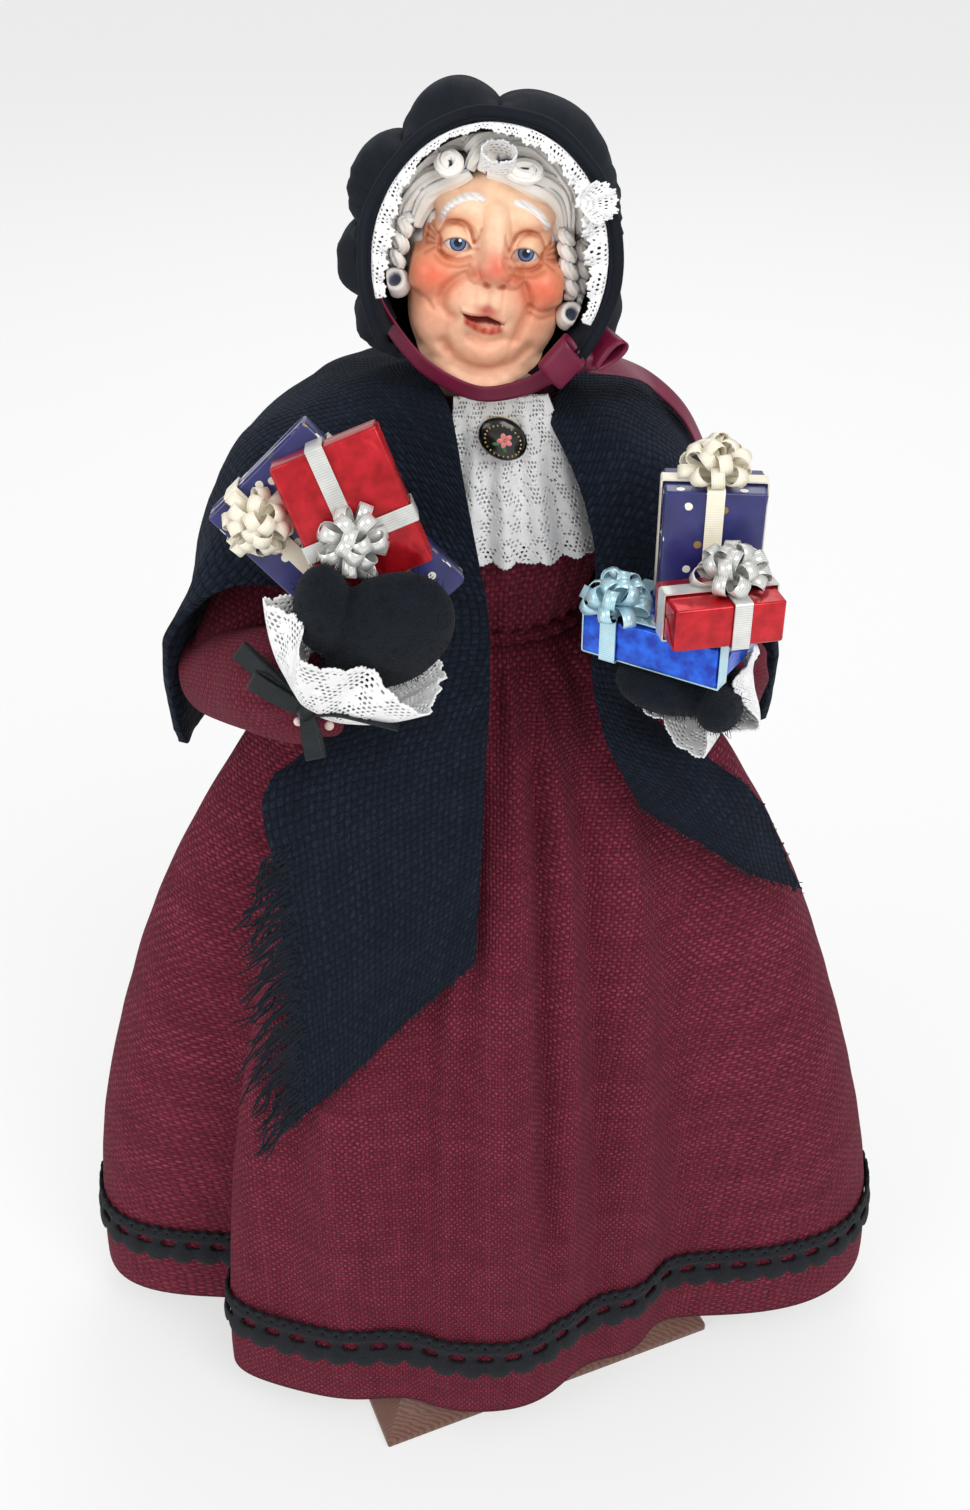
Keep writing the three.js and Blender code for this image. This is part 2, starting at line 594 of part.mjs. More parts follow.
// Hair: a cap over the skull with rolled curls along the brow and down each cheek.
const CURL_RADIUS = 3.6;
function hairForm(grow) {
  const over = HAIR_THICKNESS + grow;
  const cap = ellipsoid(vector(0, 2.5, 2.5), [FACE_W + over, FACE_D + over - 1, FACE_H + over - 2.5], 14, 9);
  const face = ellipsoid(vector(0, -FACE_D, -0.42 * FACE_H), [0.86 * FACE_W - grow, 0.9 * FACE_D - grow,
    0.98 * FACE_H - grow], 12, 8);
  const curls = [];
  for (let i = -3; i <= 3; i += 1) {
    const turn = radians(i * 27);
    const place = vector(0.92 * FACE_W * Math.sin(turn), -0.62 * FACE_D, 0.86 * FACE_H * Math.cos(turn));
    curls.push(ellipsoid(place, Array(3).fill(CURL_RADIUS + grow), 6, 5));
  }
  for (const side of [-1, 1]) {
    curls.push(ellipsoid(vector(side * (FACE_W + 1), -0.5 * FACE_D, -0.34 * FACE_H),
      [CURL_RADIUS + grow, CURL_RADIUS + grow, 1.7 * CURL_RADIUS + grow], 8, 6));
  }
  return join(cut(cap, face), ...curls);
}
add(head, 'hair', largest(cut(hairForm(0), skull(FIT), neckPeg(FIT))), materials.hair);

// Bonnet: the crown is a puffed cap gathered behind a stiff brim.
const CROWN_MIDDLE = vector(0, 8, 1.5);
const CROWN_HALF = [FACE_W + 12.5, FACE_D + 7, FACE_H + 8.2];
const BRIM_PLANE = -6; // the brim's back edge, forward of the head's middle
const BONNET_FLOOR = -0.82 * HEAD_HALF_HEIGHT; // the crown stops above the nape

function crownForm(grow, lobeHeight, front) {
  const around = 3 * CROWN_LOBES;
  const backRings = 5;
  const ring = (y, out) => Array.from({ length: around }, (_, j) => {
    const spin = (j / around) * 2 * Math.PI;
    const lobe = grow + lobeHeight * Math.cos(CROWN_LOBES * spin);
    return vector(
      CROWN_MIDDLE.x + (CROWN_HALF[0] + lobe) * out * Math.sin(spin),
      y,
      CROWN_MIDDLE.z + (CROWN_HALF[2] + lobe) * out * Math.cos(spin),
    );
  });
  const back = Array.from({ length: backRings }, (_, i) => {
    const turn = (i / backRings) * (Math.PI / 2);
    return ring(CROWN_MIDDLE.y + (CROWN_HALF[1] + grow) * Math.sin(turn), Math.cos(turn));
  });
  return loft([ring(front, 1), ...back]);
}
const belowNape = new THREE.BoxGeometry(200, 200, 100).translate(0, 0, BONNET_FLOOR - 50);
const hollow = crownForm(-BONNET_CLOTH - 2 * CROWN_LOBE_HEIGHT, 0, BRIM_PLANE - 1);
const crown = cut(crownForm(-CROWN_LOBE_HEIGHT, CROWN_LOBE_HEIGHT, BRIM_PLANE + FIT), hollow, belowNape,
  neckPeg(FIT));
add(head, 'bonnet_crown', largest(crown), materials.bonnet);

// The brim is a band that arches over the head from jaw to jaw and flares forwards.
const BRIM_SWEEP = 128; // degrees each way from the top
const BRIM_FLARE = 1.5;
function brimForm(grow) {
  const steps = 20;
  const reach = BRIM_SWEEP + 3 * grow;
  const edges = [BRIM_PLANE - FIT + grow, BRIM_PLANE - BRIM_DEPTH - grow];
  return sheet(Array.from({ length: steps + 1 }, (_, i) => {
    const turn = radians(reach * (2 * i / steps - 1));
    return edges.map((y, k) => vector((FACE_W + 7 + k * BRIM_FLARE) * Math.sin(turn), y,
      2.5 + (FACE_H + 3.5 + k * BRIM_FLARE) * Math.cos(turn)));
  }), BRIM_CLOTH + 2 * grow);
}
add(head, 'bonnet_brim', largest(cut(brimForm(0), hairForm(FIT), skull(FIT))), materials.bonnet);

// Gathered lace lies just inside the brim.
const LACE_WAVES = 9;
const LACE_WAVE = 0.7;
function bonnetLaceRows() {
  const steps = 45;
  const sweep = BRIM_SWEEP - 22;
  return Array.from({ length: steps + 1 }, (_, i) => {
    const turn = radians(sweep * (2 * i / steps - 1));
    const wave = LACE_WAVE * Math.cos((2 * LACE_WAVES * Math.PI * i) / steps);
    return [0.3, 1].map((share) => {
      const y = BRIM_PLANE - share * BRIM_DEPTH;
      const inset = -BRIM_CLOTH / 2 - LACE / 2 - FIT - LACE_WAVE + wave * share + share * BRIM_FLARE;
      return vector((FACE_W + 7 + inset) * Math.sin(turn), y, 2.5 + (FACE_H + 3.5 + inset) * Math.cos(turn));
    });
  });
}
const bonnetLace = cut(sheet(bonnetLaceRows(), LACE), hairForm(FIT), skull(FIT));
add(head, 'bonnet_lace', largest(bonnetLace), materials.lace);

// Chin ribbon: from the brim's right end under the jaw to the bow by the left jaw.
const ribbonPath = [
  vector(-FACE_W - 8, -9, -0.12 * FACE_H), vector(-FACE_W - 3.5, -10, -0.5 * FACE_H),
  vector(-0.62 * FACE_W, -10.5, -0.92 * FACE_H), vector(0, -10.5, -1.07 * FACE_H),
  vector(0.6 * FACE_W, -11, -1.02 * FACE_H), vector(FACE_W - 0.5, -12.5, -0.92 * FACE_H),
];
function ribbonBand(path, width, thickness, widthAxis, steps, reach = 0) {
  const curve = new THREE.CatmullRomCurve3(path);
  const rows = Array.from({ length: steps + 1 }, (_, i) => {
    const middle = curve.getPoint(i / steps);
    if (i === 0 || i === steps) middle.addScaledVector(curve.getTangent(i / steps), i === 0 ? -reach : reach);
    return [-0.5, 0.5].map((share) => middle.clone().addScaledVector(widthAxis, share * width));
  });
  return sheet(rows, thickness);
}
const depthwise = vector(0, 1, 0);
const chinRibbon = ribbonBand(ribbonPath, RIBBON_WIDTH, RIBBON, depthwise, 18);
const bowKnot = vector(FACE_W + 4.2, -13.5, -0.86 * FACE_H);
const knotRoom = ellipsoid(bowKnot, [2.7 + FIT, 3.4 + FIT, 2.7 + FIT]);
add(head, 'chin_ribbon', largest(cut(chinRibbon, skull(FIT), hairForm(FIT), brimForm(FIT), knotRoom,
  crownForm(FIT - CROWN_LOBE_HEIGHT, CROWN_LOBE_HEIGHT, BRIM_PLANE), neckPeg(FIT))), materials.ribbon);

// A tied bow: two loops and a knot, lying in the XZ plane of its own group.
function tiedBow(loopLength, loopHeight, width) {
  const loop = (side) => {
    const outer = new THREE.Shape();
    outer.moveTo(0, 0);
    const [near, far] = [side * loopLength * 0.4, side * loopLength];
    outer.bezierCurveTo(near, loopHeight, far, loopHeight, far, 0);
    outer.bezierCurveTo(far, -loopHeight * 0.6, near, -loopHeight * 0.6, 0, 0);
    return new THREE.ExtrudeGeometry(outer, { depth: width, bevelEnabled: false, curveSegments: 6 })
      .translate(0, 0, -width / 2).rotateX(Math.PI / 2);
  };
  const knotRadius = 0.32 * loopHeight + 1;
  const knot = ellipsoid(vector(0, 0, 0), [knotRadius, 0.5 * width + 0.4, knotRadius], 10, 8);
  return join(loop(1), loop(-1), knot);
}
const chinRibbonRoom = ribbonBand(ribbonPath, RIBBON_WIDTH + 2 * FIT, RIBBON + 2 * FIT, depthwise, 18, FIT);
const chinBow = tiedBow(9, 4.2, RIBBON_WIDTH - 1).rotateZ(radians(-15)).rotateY(radians(-42))
  .translate(...bowKnot);
add(head, 'chin_bow', largest(cut(chinBow, brimForm(FIT), hairForm(FIT), skull(FIT), chinRibbonRoom)),
  materials.ribbon);

// The ribbon's tail lies over the left shoulder on the shawl.
const TAIL_PATH = [[25, -15, 17.5], [33, -10, 14.5], [41, -7, 5.5], [47, -7, -6]];
const tail = ribbonBand(TAIL_PATH.map((p) => vector(...p).add(vector(0, 0, SHOULDER))), RIBBON_WIDTH, RIBBON,
  vector(0.1, -1, 0).normalize(), 8);
add(doll, 'ribbon_tail', largest(cut(tail, shawlForm(FIT))), materials.ribbon);

// Hands: a mitten with a thumb, a lace cuff, a ribbon bow at the wrist and the gift boxes.
// A hand's own axes: +Z towards the fingertips, +X across the palm to the thumb, +Y out of the mitten's back.
function handFrame({ wrist, hand, thumb }) {
  const along = hand.clone().sub(wrist).normalize();
  const across = thumb.clone().addScaledVector(along, -thumb.dot(along)).normalize();
  const back = along.clone().cross(across);
  return new THREE.Matrix4().makeBasis(across, back, along).setPosition(wrist);
}
for (const arm of Object.values(ARMS)) arm.frame = handFrame(arm);

const PALM = [9.8, 4.6, 13];
const THUMB = [4.2, 3.8, 8.6];
const PALM_START = 1.5; // the palm begins this far past the wrist

function mitten(arm, grow) {
  const palm = ellipsoid(vector(-1.5, 0, PALM_START + PALM[2]), PALM.map((r) => r + grow), 14, 9);
  const thumb = ellipsoid(vector(0, 0, 0), THUMB.map((r) => r + grow), 9, 7).rotateY(radians(28))
    .translate(PALM[0] - 0.5, 0, PALM_START + 0.95 * PALM[2]);
  return join(palm, thumb).applyMatrix4(arm.frame);
}

const CUFF_RADIUS = 12.5;
const CUFF_LENGTH = 13;
const CUFF_WAVES = 7;
const CUFF_WAVE = 1.6;
function cuffLace(arm) {
  const ring = (share, thickness) => Array.from({ length: 4 * CUFF_WAVES }, (_, j) => {
    const turn = (j / (4 * CUFF_WAVES)) * 2 * Math.PI;
    const wave = CUFF_WAVE * share * Math.cos(CUFF_WAVES * turn);
    const radius = WRIST_RADIUS + FIT + (CUFF_RADIUS - WRIST_RADIUS) * Math.sqrt(share) + wave + thickness;
    return vector(radius * Math.cos(turn), 0.8 * radius * Math.sin(turn), CUFF_LENGTH * share - 1);
  });
  const shares = [0, 0.45, 1];
  return loft([...shares.map((s) => ring(s, LACE)), ...shares.map((s) => ring(s, 0)).reverse()], true)
    .applyMatrix4(arm.frame);
}

// Gift boxes: each has a ribbon crossed round it and a gathered bow on one face.
const RIBBON_STEP = FIT + BOX_RIBBON; // how far a box's ribbon stands off the box
const BETWEEN_BOXES = 2 * RIBBON_STEP + FIT;

function boxRibbon([width, depth, height], [x, y]) {
  const band = (wide, deep) => cut(
    new THREE.BoxGeometry(wide, deep, height + 2 * RIBBON_STEP),
    new THREE.BoxGeometry(
      wide > width ? width + 2 * FIT : wide + 2,
      deep > depth ? depth + 2 * FIT : deep + 2,
      height + 2 * FIT,
    ),
  );
  return join(
    band(BOX_RIBBON_WIDTH, depth + 2 * RIBBON_STEP).translate(x, 0, 0),
    band(width + 2 * RIBBON_STEP, BOX_RIBBON_WIDTH).translate(0, y, 0),
  );
}

const BOW_LOBES = 5;
const BOW_HEIGHT = 0.62; // of its radius
function giftBow(radius) {
  const [around, along] = [4 * BOW_LOBES, 4];
  const rings = Array.from({ length: along }, (_, i) => {
    const turn = ((i + 0.6) / (along + 0.2)) * Math.PI;
    return Array.from({ length: around }, (__, j) => {
      const spin = (j / around) * 2 * Math.PI;
      const out = radius * Math.sin(turn) * (0.86 + 0.14 * Math.cos(BOW_LOBES * spin));
      return vector(out * Math.cos(spin), out * Math.sin(spin), -radius * BOW_HEIGHT * Math.cos(turn));
    });
  });
  return loft(rings).translate(0, 0, radius * BOW_HEIGHT * Math.cos((0.6 / (along + 0.2)) * Math.PI));
}

function gift(parent, name, size, place, spin, bowAt, boxColour, bowColour) {
  const group = new THREE.Group();
  group.position.set(...place);
  group.rotation.z = radians(spin);
  parent.add(group);
  add(group, `${name}_box`, new THREE.BoxGeometry(...size), boxColour);
  add(group, `${name}_ribbon`, boxRibbon(size, bowAt), bowColour);
  const bow = add(group, `${name}_bow`, giftBow(GIFT_BOW_RADIUS), bowColour);
  bow.position.set(...bowAt, size[2] / 2 + RIBBON_STEP + FIT);
}

// The right hand holds two flat boxes upright behind the mitten.
const rightGifts = new THREE.Group();
rightGifts.position.set(-27, -51, SHOULDER);
rightGifts.rotation.set(radians(80), 0, radians(4), 'ZXY');
doll.add(rightGifts);
gift(rightGifts, 'right_navy', NAVY_FLAT_BOX, [0, 0, 0], -47, [-13.8, -6], materials.navy, materials.cream);
gift(rightGifts, 'right_red', RED_FLAT_BOX,
  [3, 8.5, (NAVY_FLAT_BOX[2] + RED_FLAT_BOX[2]) / 2 + BETWEEN_BOXES], 21, [-1.5, -3.5], materials.red,
  materials.silver);

// The left palm carries a flat blue box with two boxes on top of it.
const leftGifts = new THREE.Group();
leftGifts.position.copy(ARMS.left.hand).add(vector(1, 5, PALM[1] + FIT + RIBBON_STEP + BLUE_BOX[2] / 2));
leftGifts.rotation.z = radians(-32);
doll.add(leftGifts);
const onBlue = (height) => (BLUE_BOX[2] + height) / 2 + BETWEEN_BOXES;
gift(leftGifts, 'left_blue', BLUE_BOX, [0, 0, 0], 0, [-8, -6], materials.blue, materials.iceBlue);
gift(leftGifts, 'left_red', RED_SMALL_BOX, [12, -5.5, onBlue(RED_SMALL_BOX[2])], 44, [2, 1], materials.red,
  materials.silver);
gift(leftGifts, 'left_navy', NAVY_TALL_BOX, [3.5, 7.5, onBlue(NAVY_TALL_BOX[2])], 28, [0, 0], materials.navy,
  materials.cream);

// Forearms and hands. The lace cuffs give way to the boxes.
const boxRoom = [];
doll.updateMatrixWorld(true);
doll.traverse((node) => {
  if (!node.name.endsWith('_box')) return;
  const { width, height, depth } = node.geometry.parameters;
  const room = 2 * (RIBBON_STEP + FIT);
  boxRoom.push(new THREE.BoxGeometry(width + room, height + room, depth + room)
    .applyMatrix4(node.matrixWorld));
});
for (const [name, arm] of Object.entries(ARMS)) {
  add(doll, `${name}_forearm_wire`, forearmWire(arm, 0), materials.wire);
  const sleeve = cut(forearmSleeve(arm, 0), forearmWire(arm, FIT), mitten(arm, FIT));
  add(doll, `${name}_forearm_sleeve`, largest(sleeve), materials.wool);
  add(doll, `${name}_mitten`, cut(mitten(arm, 0), forearmWire(arm, FIT)), materials.mitten);
  const lace = cut(cuffLace(arm), mitten(arm, FIT), forearmSleeve(arm, FIT), ...boxRoom);
  add(doll, `${name}_cuff_lace`, largest(lace), materials.lace);
}

// A black ribbon bow ties the right sleeve in at the wrist.
const cuffBow = new THREE.Group();
cuffBow.applyMatrix4(ARMS.right.frame);
doll.add(cuffBow);
const cuffBowMesh = add(cuffBow, 'right_cuff_bow', tiedBow(7, 3.4, 3.4), materials.blackRibbon);
cuffBowMesh.position.set(2, WRIST_RADIUS + 2.4, -3.2);

export default doll;
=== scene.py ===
import bpy
import bmesh
import random
import numpy as np
from math import atan2, copysign, cos, degrees as toDegrees, exp, hypot, pi, radians as rad, sin, sqrt
from mathutils import Matrix, Vector, noise
from mathutils.bvhtree import BVHTree


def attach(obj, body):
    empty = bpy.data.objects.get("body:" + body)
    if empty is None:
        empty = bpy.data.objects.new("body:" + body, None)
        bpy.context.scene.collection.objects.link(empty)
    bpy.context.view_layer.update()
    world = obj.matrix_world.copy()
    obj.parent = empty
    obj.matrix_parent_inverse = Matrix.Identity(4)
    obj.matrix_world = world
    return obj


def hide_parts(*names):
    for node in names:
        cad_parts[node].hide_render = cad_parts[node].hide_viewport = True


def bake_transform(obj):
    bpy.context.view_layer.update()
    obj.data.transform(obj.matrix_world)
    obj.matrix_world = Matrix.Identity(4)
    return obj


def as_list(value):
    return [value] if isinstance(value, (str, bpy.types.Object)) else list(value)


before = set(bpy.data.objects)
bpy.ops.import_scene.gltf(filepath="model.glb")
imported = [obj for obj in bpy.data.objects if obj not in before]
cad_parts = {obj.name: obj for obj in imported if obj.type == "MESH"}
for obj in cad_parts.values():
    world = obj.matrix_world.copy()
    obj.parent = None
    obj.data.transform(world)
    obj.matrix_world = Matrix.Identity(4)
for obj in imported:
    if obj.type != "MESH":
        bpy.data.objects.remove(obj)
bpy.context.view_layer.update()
print("frame loaded with", len(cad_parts), "nodes")

mm = 0.001  # pieces are shaped in millimetres and scaled once, at the end
fullTurn = 2 * pi


# Node helpers
def paint(red, green, blue):
    shares = [c / 255 for c in (red, green, blue)]
    return tuple(s / 12.92 if s < 0.04 else ((s + 0.055) / 1.055) ** 2.4 for s in shares) + (1.0,)


def feed(tree, socket, value):
    if isinstance(value, bpy.types.Node):
        value = value.outputs[0]
    if isinstance(value, bpy.types.NodeSocket):
        tree.links.new(value, socket)
    else:
        socket.default_value = value


def addNode(tree, kind, inputs=None, **settings):
    made = tree.nodes.new("ShaderNode" + kind)
    for key, value in settings.items():
        setattr(made, key, value)
    for key, value in (inputs or {}).items():
        feed(tree, made.inputs[key], value)
    return made


def maths(tree, operation, first, second=0.0):
    return addNode(tree, "Math", {0: first, 1: second}, operation=operation)


# Sum of values, each times its weight
def weighed(tree, *pairs):
    total = None
    for value, weight in pairs:
        part = maths(tree, "MULTIPLY", value, weight)
        total = part if total is None else maths(tree, "ADD", total, part)
    return total


def vectors(tree, operation, first, second=None, scale=None):
    given = {0: first, 1: second, "Scale": scale}
    inputs = {key: value for key, value in given.items() if value is not None}
    return addNode(tree, "VectorMath", inputs, operation=operation)


def blendColour(tree, share, first, second, mode="MIX"):
    made = addNode(tree, "Mix", {0: share, 6: first, 7: second}, data_type="RGBA", blend_type=mode)
    return made.outputs[2]


def colourStops(tree, share, stops):
    made = addNode(tree, "ValToRGB", {0: share})
    ramp = made.color_ramp
    ramp.elements.remove(ramp.elements[1])
    ramp.elements[0].position, ramp.elements[0].color = stops[0]
    for at, colour in stops[1:]:
        ramp.elements.new(at).color = colour
    return made.outputs[0]


# A look's own paints, each at its place on the share
def lookColour(tree, share, look, **places):
    return colourStops(tree, share, [(at, paint(*look[key])) for key, at in places.items()])


# Where a look's plain values go on the shader
socketSet = dict(rough="Roughness", sheen="Sheen Weight", gloss="Specular IOR Level", metal="Metallic",
    coat="Coat Weight")


def newFinish(name, values, look=()):
    material = bpy.data.materials.new(name)
    material.use_nodes = True
    tree = material.node_tree
    shader = tree.nodes["Principled BSDF"]
    given = {socketSet[key]: look[key] for key in socketSet if key in look}
    for socket, value in {**values, **given}.items():
        shader.inputs[socket].default_value = value
    return tree, shader


def makeAll(maker, **looks):
    for name, look in looks.items():
        maker(name, look)


def baseColour(tree, shader, colour):
    feed(tree, shader.inputs["Base Color"], colour)


def inMillimetres(tree):
    return vectors(tree, "SCALE", addNode(tree, "TexCoord").outputs["Object"], scale=1000.0)


def clothPlace(tree):
    return addNode(tree, "UVMap", uv_map="UVMap").outputs[0]


def mottle(tree, vector, scale, detail=3.0):
    return addNode(tree, "TexNoise", {"Vector": vector, "Scale": scale, "Detail": detail}).outputs["Fac"]


def relief(tree, shader, height, strength, distance):
    bump = addNode(tree, "Bump", {"Strength": strength, "Distance": distance * mm, "Height": height})
    feed(tree, shader.inputs["Normal"], bump)


# Plain weave on the cloth's own millimetres: the thread on top is round across and humped along
def threads(tree, pitch, wander):
    cloth = clothPlace(tree)
    drift = addNode(tree, "TexNoise", {"Vector": cloth, "Scale": 0.16, "Detail": 2.0}).outputs["Color"]
    pushed = vectors(tree, "SCALE", vectors(tree, "SUBTRACT", drift, (0.5, 0.5, 0.5)), scale=wander)
    moved = vectors(tree, "ADD", cloth, pushed)
    counted = vectors(tree, "MULTIPLY", moved, (1 / pitch[0], 1 / pitch[1], 0.0))
    cell = addNode(tree, "SeparateXYZ", {0: vectors(tree, "FLOOR", counted)}).outputs
    part = addNode(tree, "SeparateXYZ", {0: vectors(tree, "FRACTION", counted)}).outputs
    warp, weft = (maths(tree, "SINE", maths(tree, "MULTIPLY", part[k], pi)) for k in (0, 1))
    odd = maths(tree, "FLOORED_MODULO", maths(tree, "ADD", cell[0], cell[1]), 2.0)
    tops = []
    for over, under in ((warp, weft), (weft, warp)):
        hump = addNode(tree, "Math", {0: under, 1: 0.6, 2: 0.4}, operation="MULTIPLY_ADD")
        tops.append(maths(tree, "MULTIPLY", maths(tree, "POWER", over, 0.6), hump))
    height, which = (addNode(tree, "Mix", {0: odd, 2: even, 3: uneven}, data_type="FLOAT").outputs[0]
        for even, uneven in (tops, (cell[0], cell[1])))
    place = addNode(tree, "CombineXYZ", {0: which, 1: odd})
    shade = addNode(tree, "TexWhiteNoise", {"Vector": place}, noise_dimensions="2D").outputs["Value"]
    return cloth, height, shade, odd


# Woven wool: painted shade in the gaps between threads, heathered threads and loose fibres
def wovenWool(name, look):
    tree, shader = newFinish(name, {"Sheen Roughness": 0.45, "Sheen Tint": paint(*look["sheenTint"]),
            "Specular IOR Level": 0.2}, look)
    cloth, height, shade, odd = threads(tree, look["pitch"], look["wander"])
    fibres = mottle(tree, cloth, look["fibre"], 4.0)
    slow = mottle(tree, cloth, 0.14)
    # warp and weft toned apart: partly the threads' own shade, partly painted light for how each way catches
    # the lamps
    check = maths(tree, "SUBTRACT", odd, 0.5)
    tone = weighed(tree, (shade, look["thread"]), (fibres, 0.95), (slow, 0.3), (check, look["check"]))
    thread = lookColour(tree, maths(tree, "MULTIPLY", tone, 0.74), look, dark=0.25, middle=0.5, light=0.78)
    # painted shade: where the weave lies low it takes the dark gap colour
    lit = maths(tree, "POWER", height, 0.7)
    baseColour(tree, shader, blendColour(tree, lit, paint(*look["gap"]), thread))
    relief(tree, shader, weighed(tree, (height, 1.0), (fibres, 0.6)), look["bump"], look["depth"])


wineLook = dict(pitch=(1.0, 1.0), wander=1.5, fibre=1.5, thread=0.16, check=0.2, rough=0.92, sheen=0.06,
    bump=0.75, depth=0.45, gap=(58, 12, 26), dark=(76, 17, 33), middle=(109, 31, 50), light=(162, 64, 87),
    sheenTint=(190, 120, 135))
makeAll(wovenWool, wineWool=wineLook,
    sleeveWool=dict(wineLook, pitch=(0.9, 0.9), bump=0.5, gap=(66, 14, 27), dark=(78, 19, 34),
        middle=(104, 30, 47), light=(140, 54, 74)),
    shawlWool=dict(pitch=(1.75, 1.6), wander=1.5, fibre=1.8, thread=0.14, check=0.1,
        rough=0.95, sheen=0.05, bump=0.8, depth=0.8, gap=(3, 5, 9), dark=(9, 15, 25), middle=(17, 26, 41),
        light=(42, 54, 71), sheenTint=(90, 120, 160)),
    bonnetCloth=dict(pitch=(0.42, 0.42), wander=0.3, fibre=3.0, thread=0.2,
        check=0.0, rough=0.9, sheen=0.05, bump=0.25, depth=0.1, gap=(17, 20, 27), dark=(18, 22, 29),
        middle=(22, 27, 35), light=(32, 38, 47), sheenTint=(130, 140, 160)),
    muslinCloth=dict(pitch=(0.5, 0.5), wander=0.3, fibre=2.0, thread=0.3, check=0.1,
        rough=0.95, sheen=0.1, bump=0.5, depth=0.15, gap=(190, 176, 152), dark=(212, 200, 178),
        middle=(224, 214, 194), light=(238, 230, 214), sheenTint=(240, 235, 225)))


# Fuzzy or fibrous finishes on the piece's own place
def fibrous(name, look):
    tree, shader = newFinish(name, {"Sheen Roughness": 0.5, "Specular IOR Level": 0.25}, look)
    place = inMillimetres(tree)
    fine, broad = mottle(tree, place, look["fine"], 5.0), mottle(tree, place, look["broad"], 2.0)
    tone = weighed(tree, (fine, 0.65), (broad, 0.35))
    baseColour(tree, shader, lookColour(tree, tone, look, dark=0.3, light=0.7))
    relief(tree, shader, fine, look["bump"], look["depth"])


fibreSet = dict(rough=0.95, broad=0.3, bump=0.5, depth=0.2)
makeAll(fibrous,
    mittenFelt=dict(fibreSet, sheen=0.04, fine=2.6, broad=0.25, bump=0.8, depth=0.5, dark=(4, 8, 14),
        light=(20, 28, 39)),
    laceCotton=dict(fibreSet, rough=0.8, sheen=0.1, fine=4.0, dark=(238, 239, 240), light=(253, 253, 252)),
    braidCotton=dict(fibreSet, rough=0.9, sheen=0.03, fine=2.2, bump=0.8, depth=0.4, dark=(8, 10, 14),
        light=(28, 31, 38)),
    fringeWool=dict(fibreSet, sheen=0.03, fine=3.0, bump=0.4, dark=(6, 10, 17), light=(23, 31, 44)),
    pearlGloss=dict(fibreSet, rough=0.25, gloss=0.6, fine=0.8, broad=0.4, bump=0.05, depth=0.1,
        dark=(206, 176, 166), light=(234, 214, 204)),
    leafPaint=dict(fibreSet, rough=0.4, fine=3.0, broad=0.8, bump=0.2, depth=0.1, dark=(40, 92, 52),
        light=(88, 140, 84)),
    petalPaint=dict(fibreSet, rough=0.4, fine=2.0, broad=0.9, bump=0.2, depth=0.1, dark=(206, 96, 104),
        light=(238, 160, 158)),
    broochGloss=dict(fibreSet, rough=0.16, gloss=0.6, fine=1.5, broad=0.4, bump=0.03, depth=0.05,
        dark=(10, 10, 12), light=(24, 23, 24)),
    neckSkin=dict(fibreSet, rough=0.45, gloss=0.4, fine=1.5, bump=0.1, depth=0.1, dark=(236, 190, 158),
        light=(248, 210, 180)))


# Painted hair: pale ridges over a blue-grey wash and painted shade in the hollows
def washedAndShadedHair(name, look):
    tree, shader = newFinish(name, {"Specular IOR Level": 0.45}, look)
    # the hollow share gives the blue-grey wash together with painted shade
    hollow = addNode(tree, "Attribute", attribute_name="hollow").outputs["Fac"]
    streak = mottle(tree, inMillimetres(tree), look["streak"], 4.0)
    centred = maths(tree, "SUBTRACT", streak, 0.5)
    share = weighed(tree, (hollow, 1.0), (centred, 0.3))
    baseColour(tree, shader, lookColour(tree, share, look, ridge=0.08, middle=0.4, hollow=0.95))
    relief(tree, shader, streak, 0.3, 0.25)


washedAndShadedHair("hairPaint", dict(rough=0.4, streak=1.3, ridge=(246, 243, 236),
        middle=(222, 221, 220), hollow=(128, 138, 164)))


# Metal and metallic wraps
def foilWrap(name, look):
    tree, shader = newFinish(name, {"Coat Weight": 0.3, "Coat Roughness": 0.15}, look)
    place = inMillimetres(tree)
    crease = addNode(tree, "TexVoronoi", {"Vector": place, "Scale": look["crease"]},
        feature="DISTANCE_TO_EDGE")
    soft = mottle(tree, place, look["ripple"])
    baseColour(tree, shader, lookColour(tree, soft, look, dark=0.35, light=0.65))
    fold = maths(tree, "MINIMUM", crease.outputs["Distance"], 0.12)
    relief(tree, shader, weighed(tree, (soft, 0.8), (fold, 1.6)), look["bump"], look["depth"])


makeAll(foilWrap, redFoil=dict(metal=0.55, rough=0.3, crease=0.16, ripple=0.35, bump=0.35, depth=0.5,
        dark=(168, 8, 22), light=(206, 26, 40)),
    blueFoil=dict(metal=0.5, rough=0.28, crease=0.2, ripple=0.4, bump=0.4, depth=0.5,
        dark=(4, 52, 176), light=(22, 104, 236)),
    giltMetal=dict(metal=0.9, rough=0.35, crease=0.8, ripple=1.5, bump=0.1, depth=0.2,
        dark=(160, 132, 62), light=(206, 182, 104)),
    aluminiumWire=dict(metal=0.95, rough=0.4, crease=0.5, ripple=1.0, bump=0.1,
        depth=0.1, dark=(170, 172, 176), light=(204, 206, 208)))


# Ribbon: fine ribs along its length
def ribbonFinish(name, look):
    tree, shader = newFinish(name, {}, look)
    cloth = clothPlace(tree)
    ribs = addNode(tree, "TexWave", {"Vector": cloth, "Scale": look["ribs"], "Distortion": 0.6,
            "Detail": 2.0}, bands_direction=look.get("across", "Y")).outputs["Fac"]
    tone = weighed(tree, (ribs, 0.3), (mottle(tree, cloth, 0.25), 0.7))
    baseColour(tree, shader, lookColour(tree, tone, look, dark=0.25, light=0.75))
    relief(tree, shader, ribs, look["bump"], 0.08)


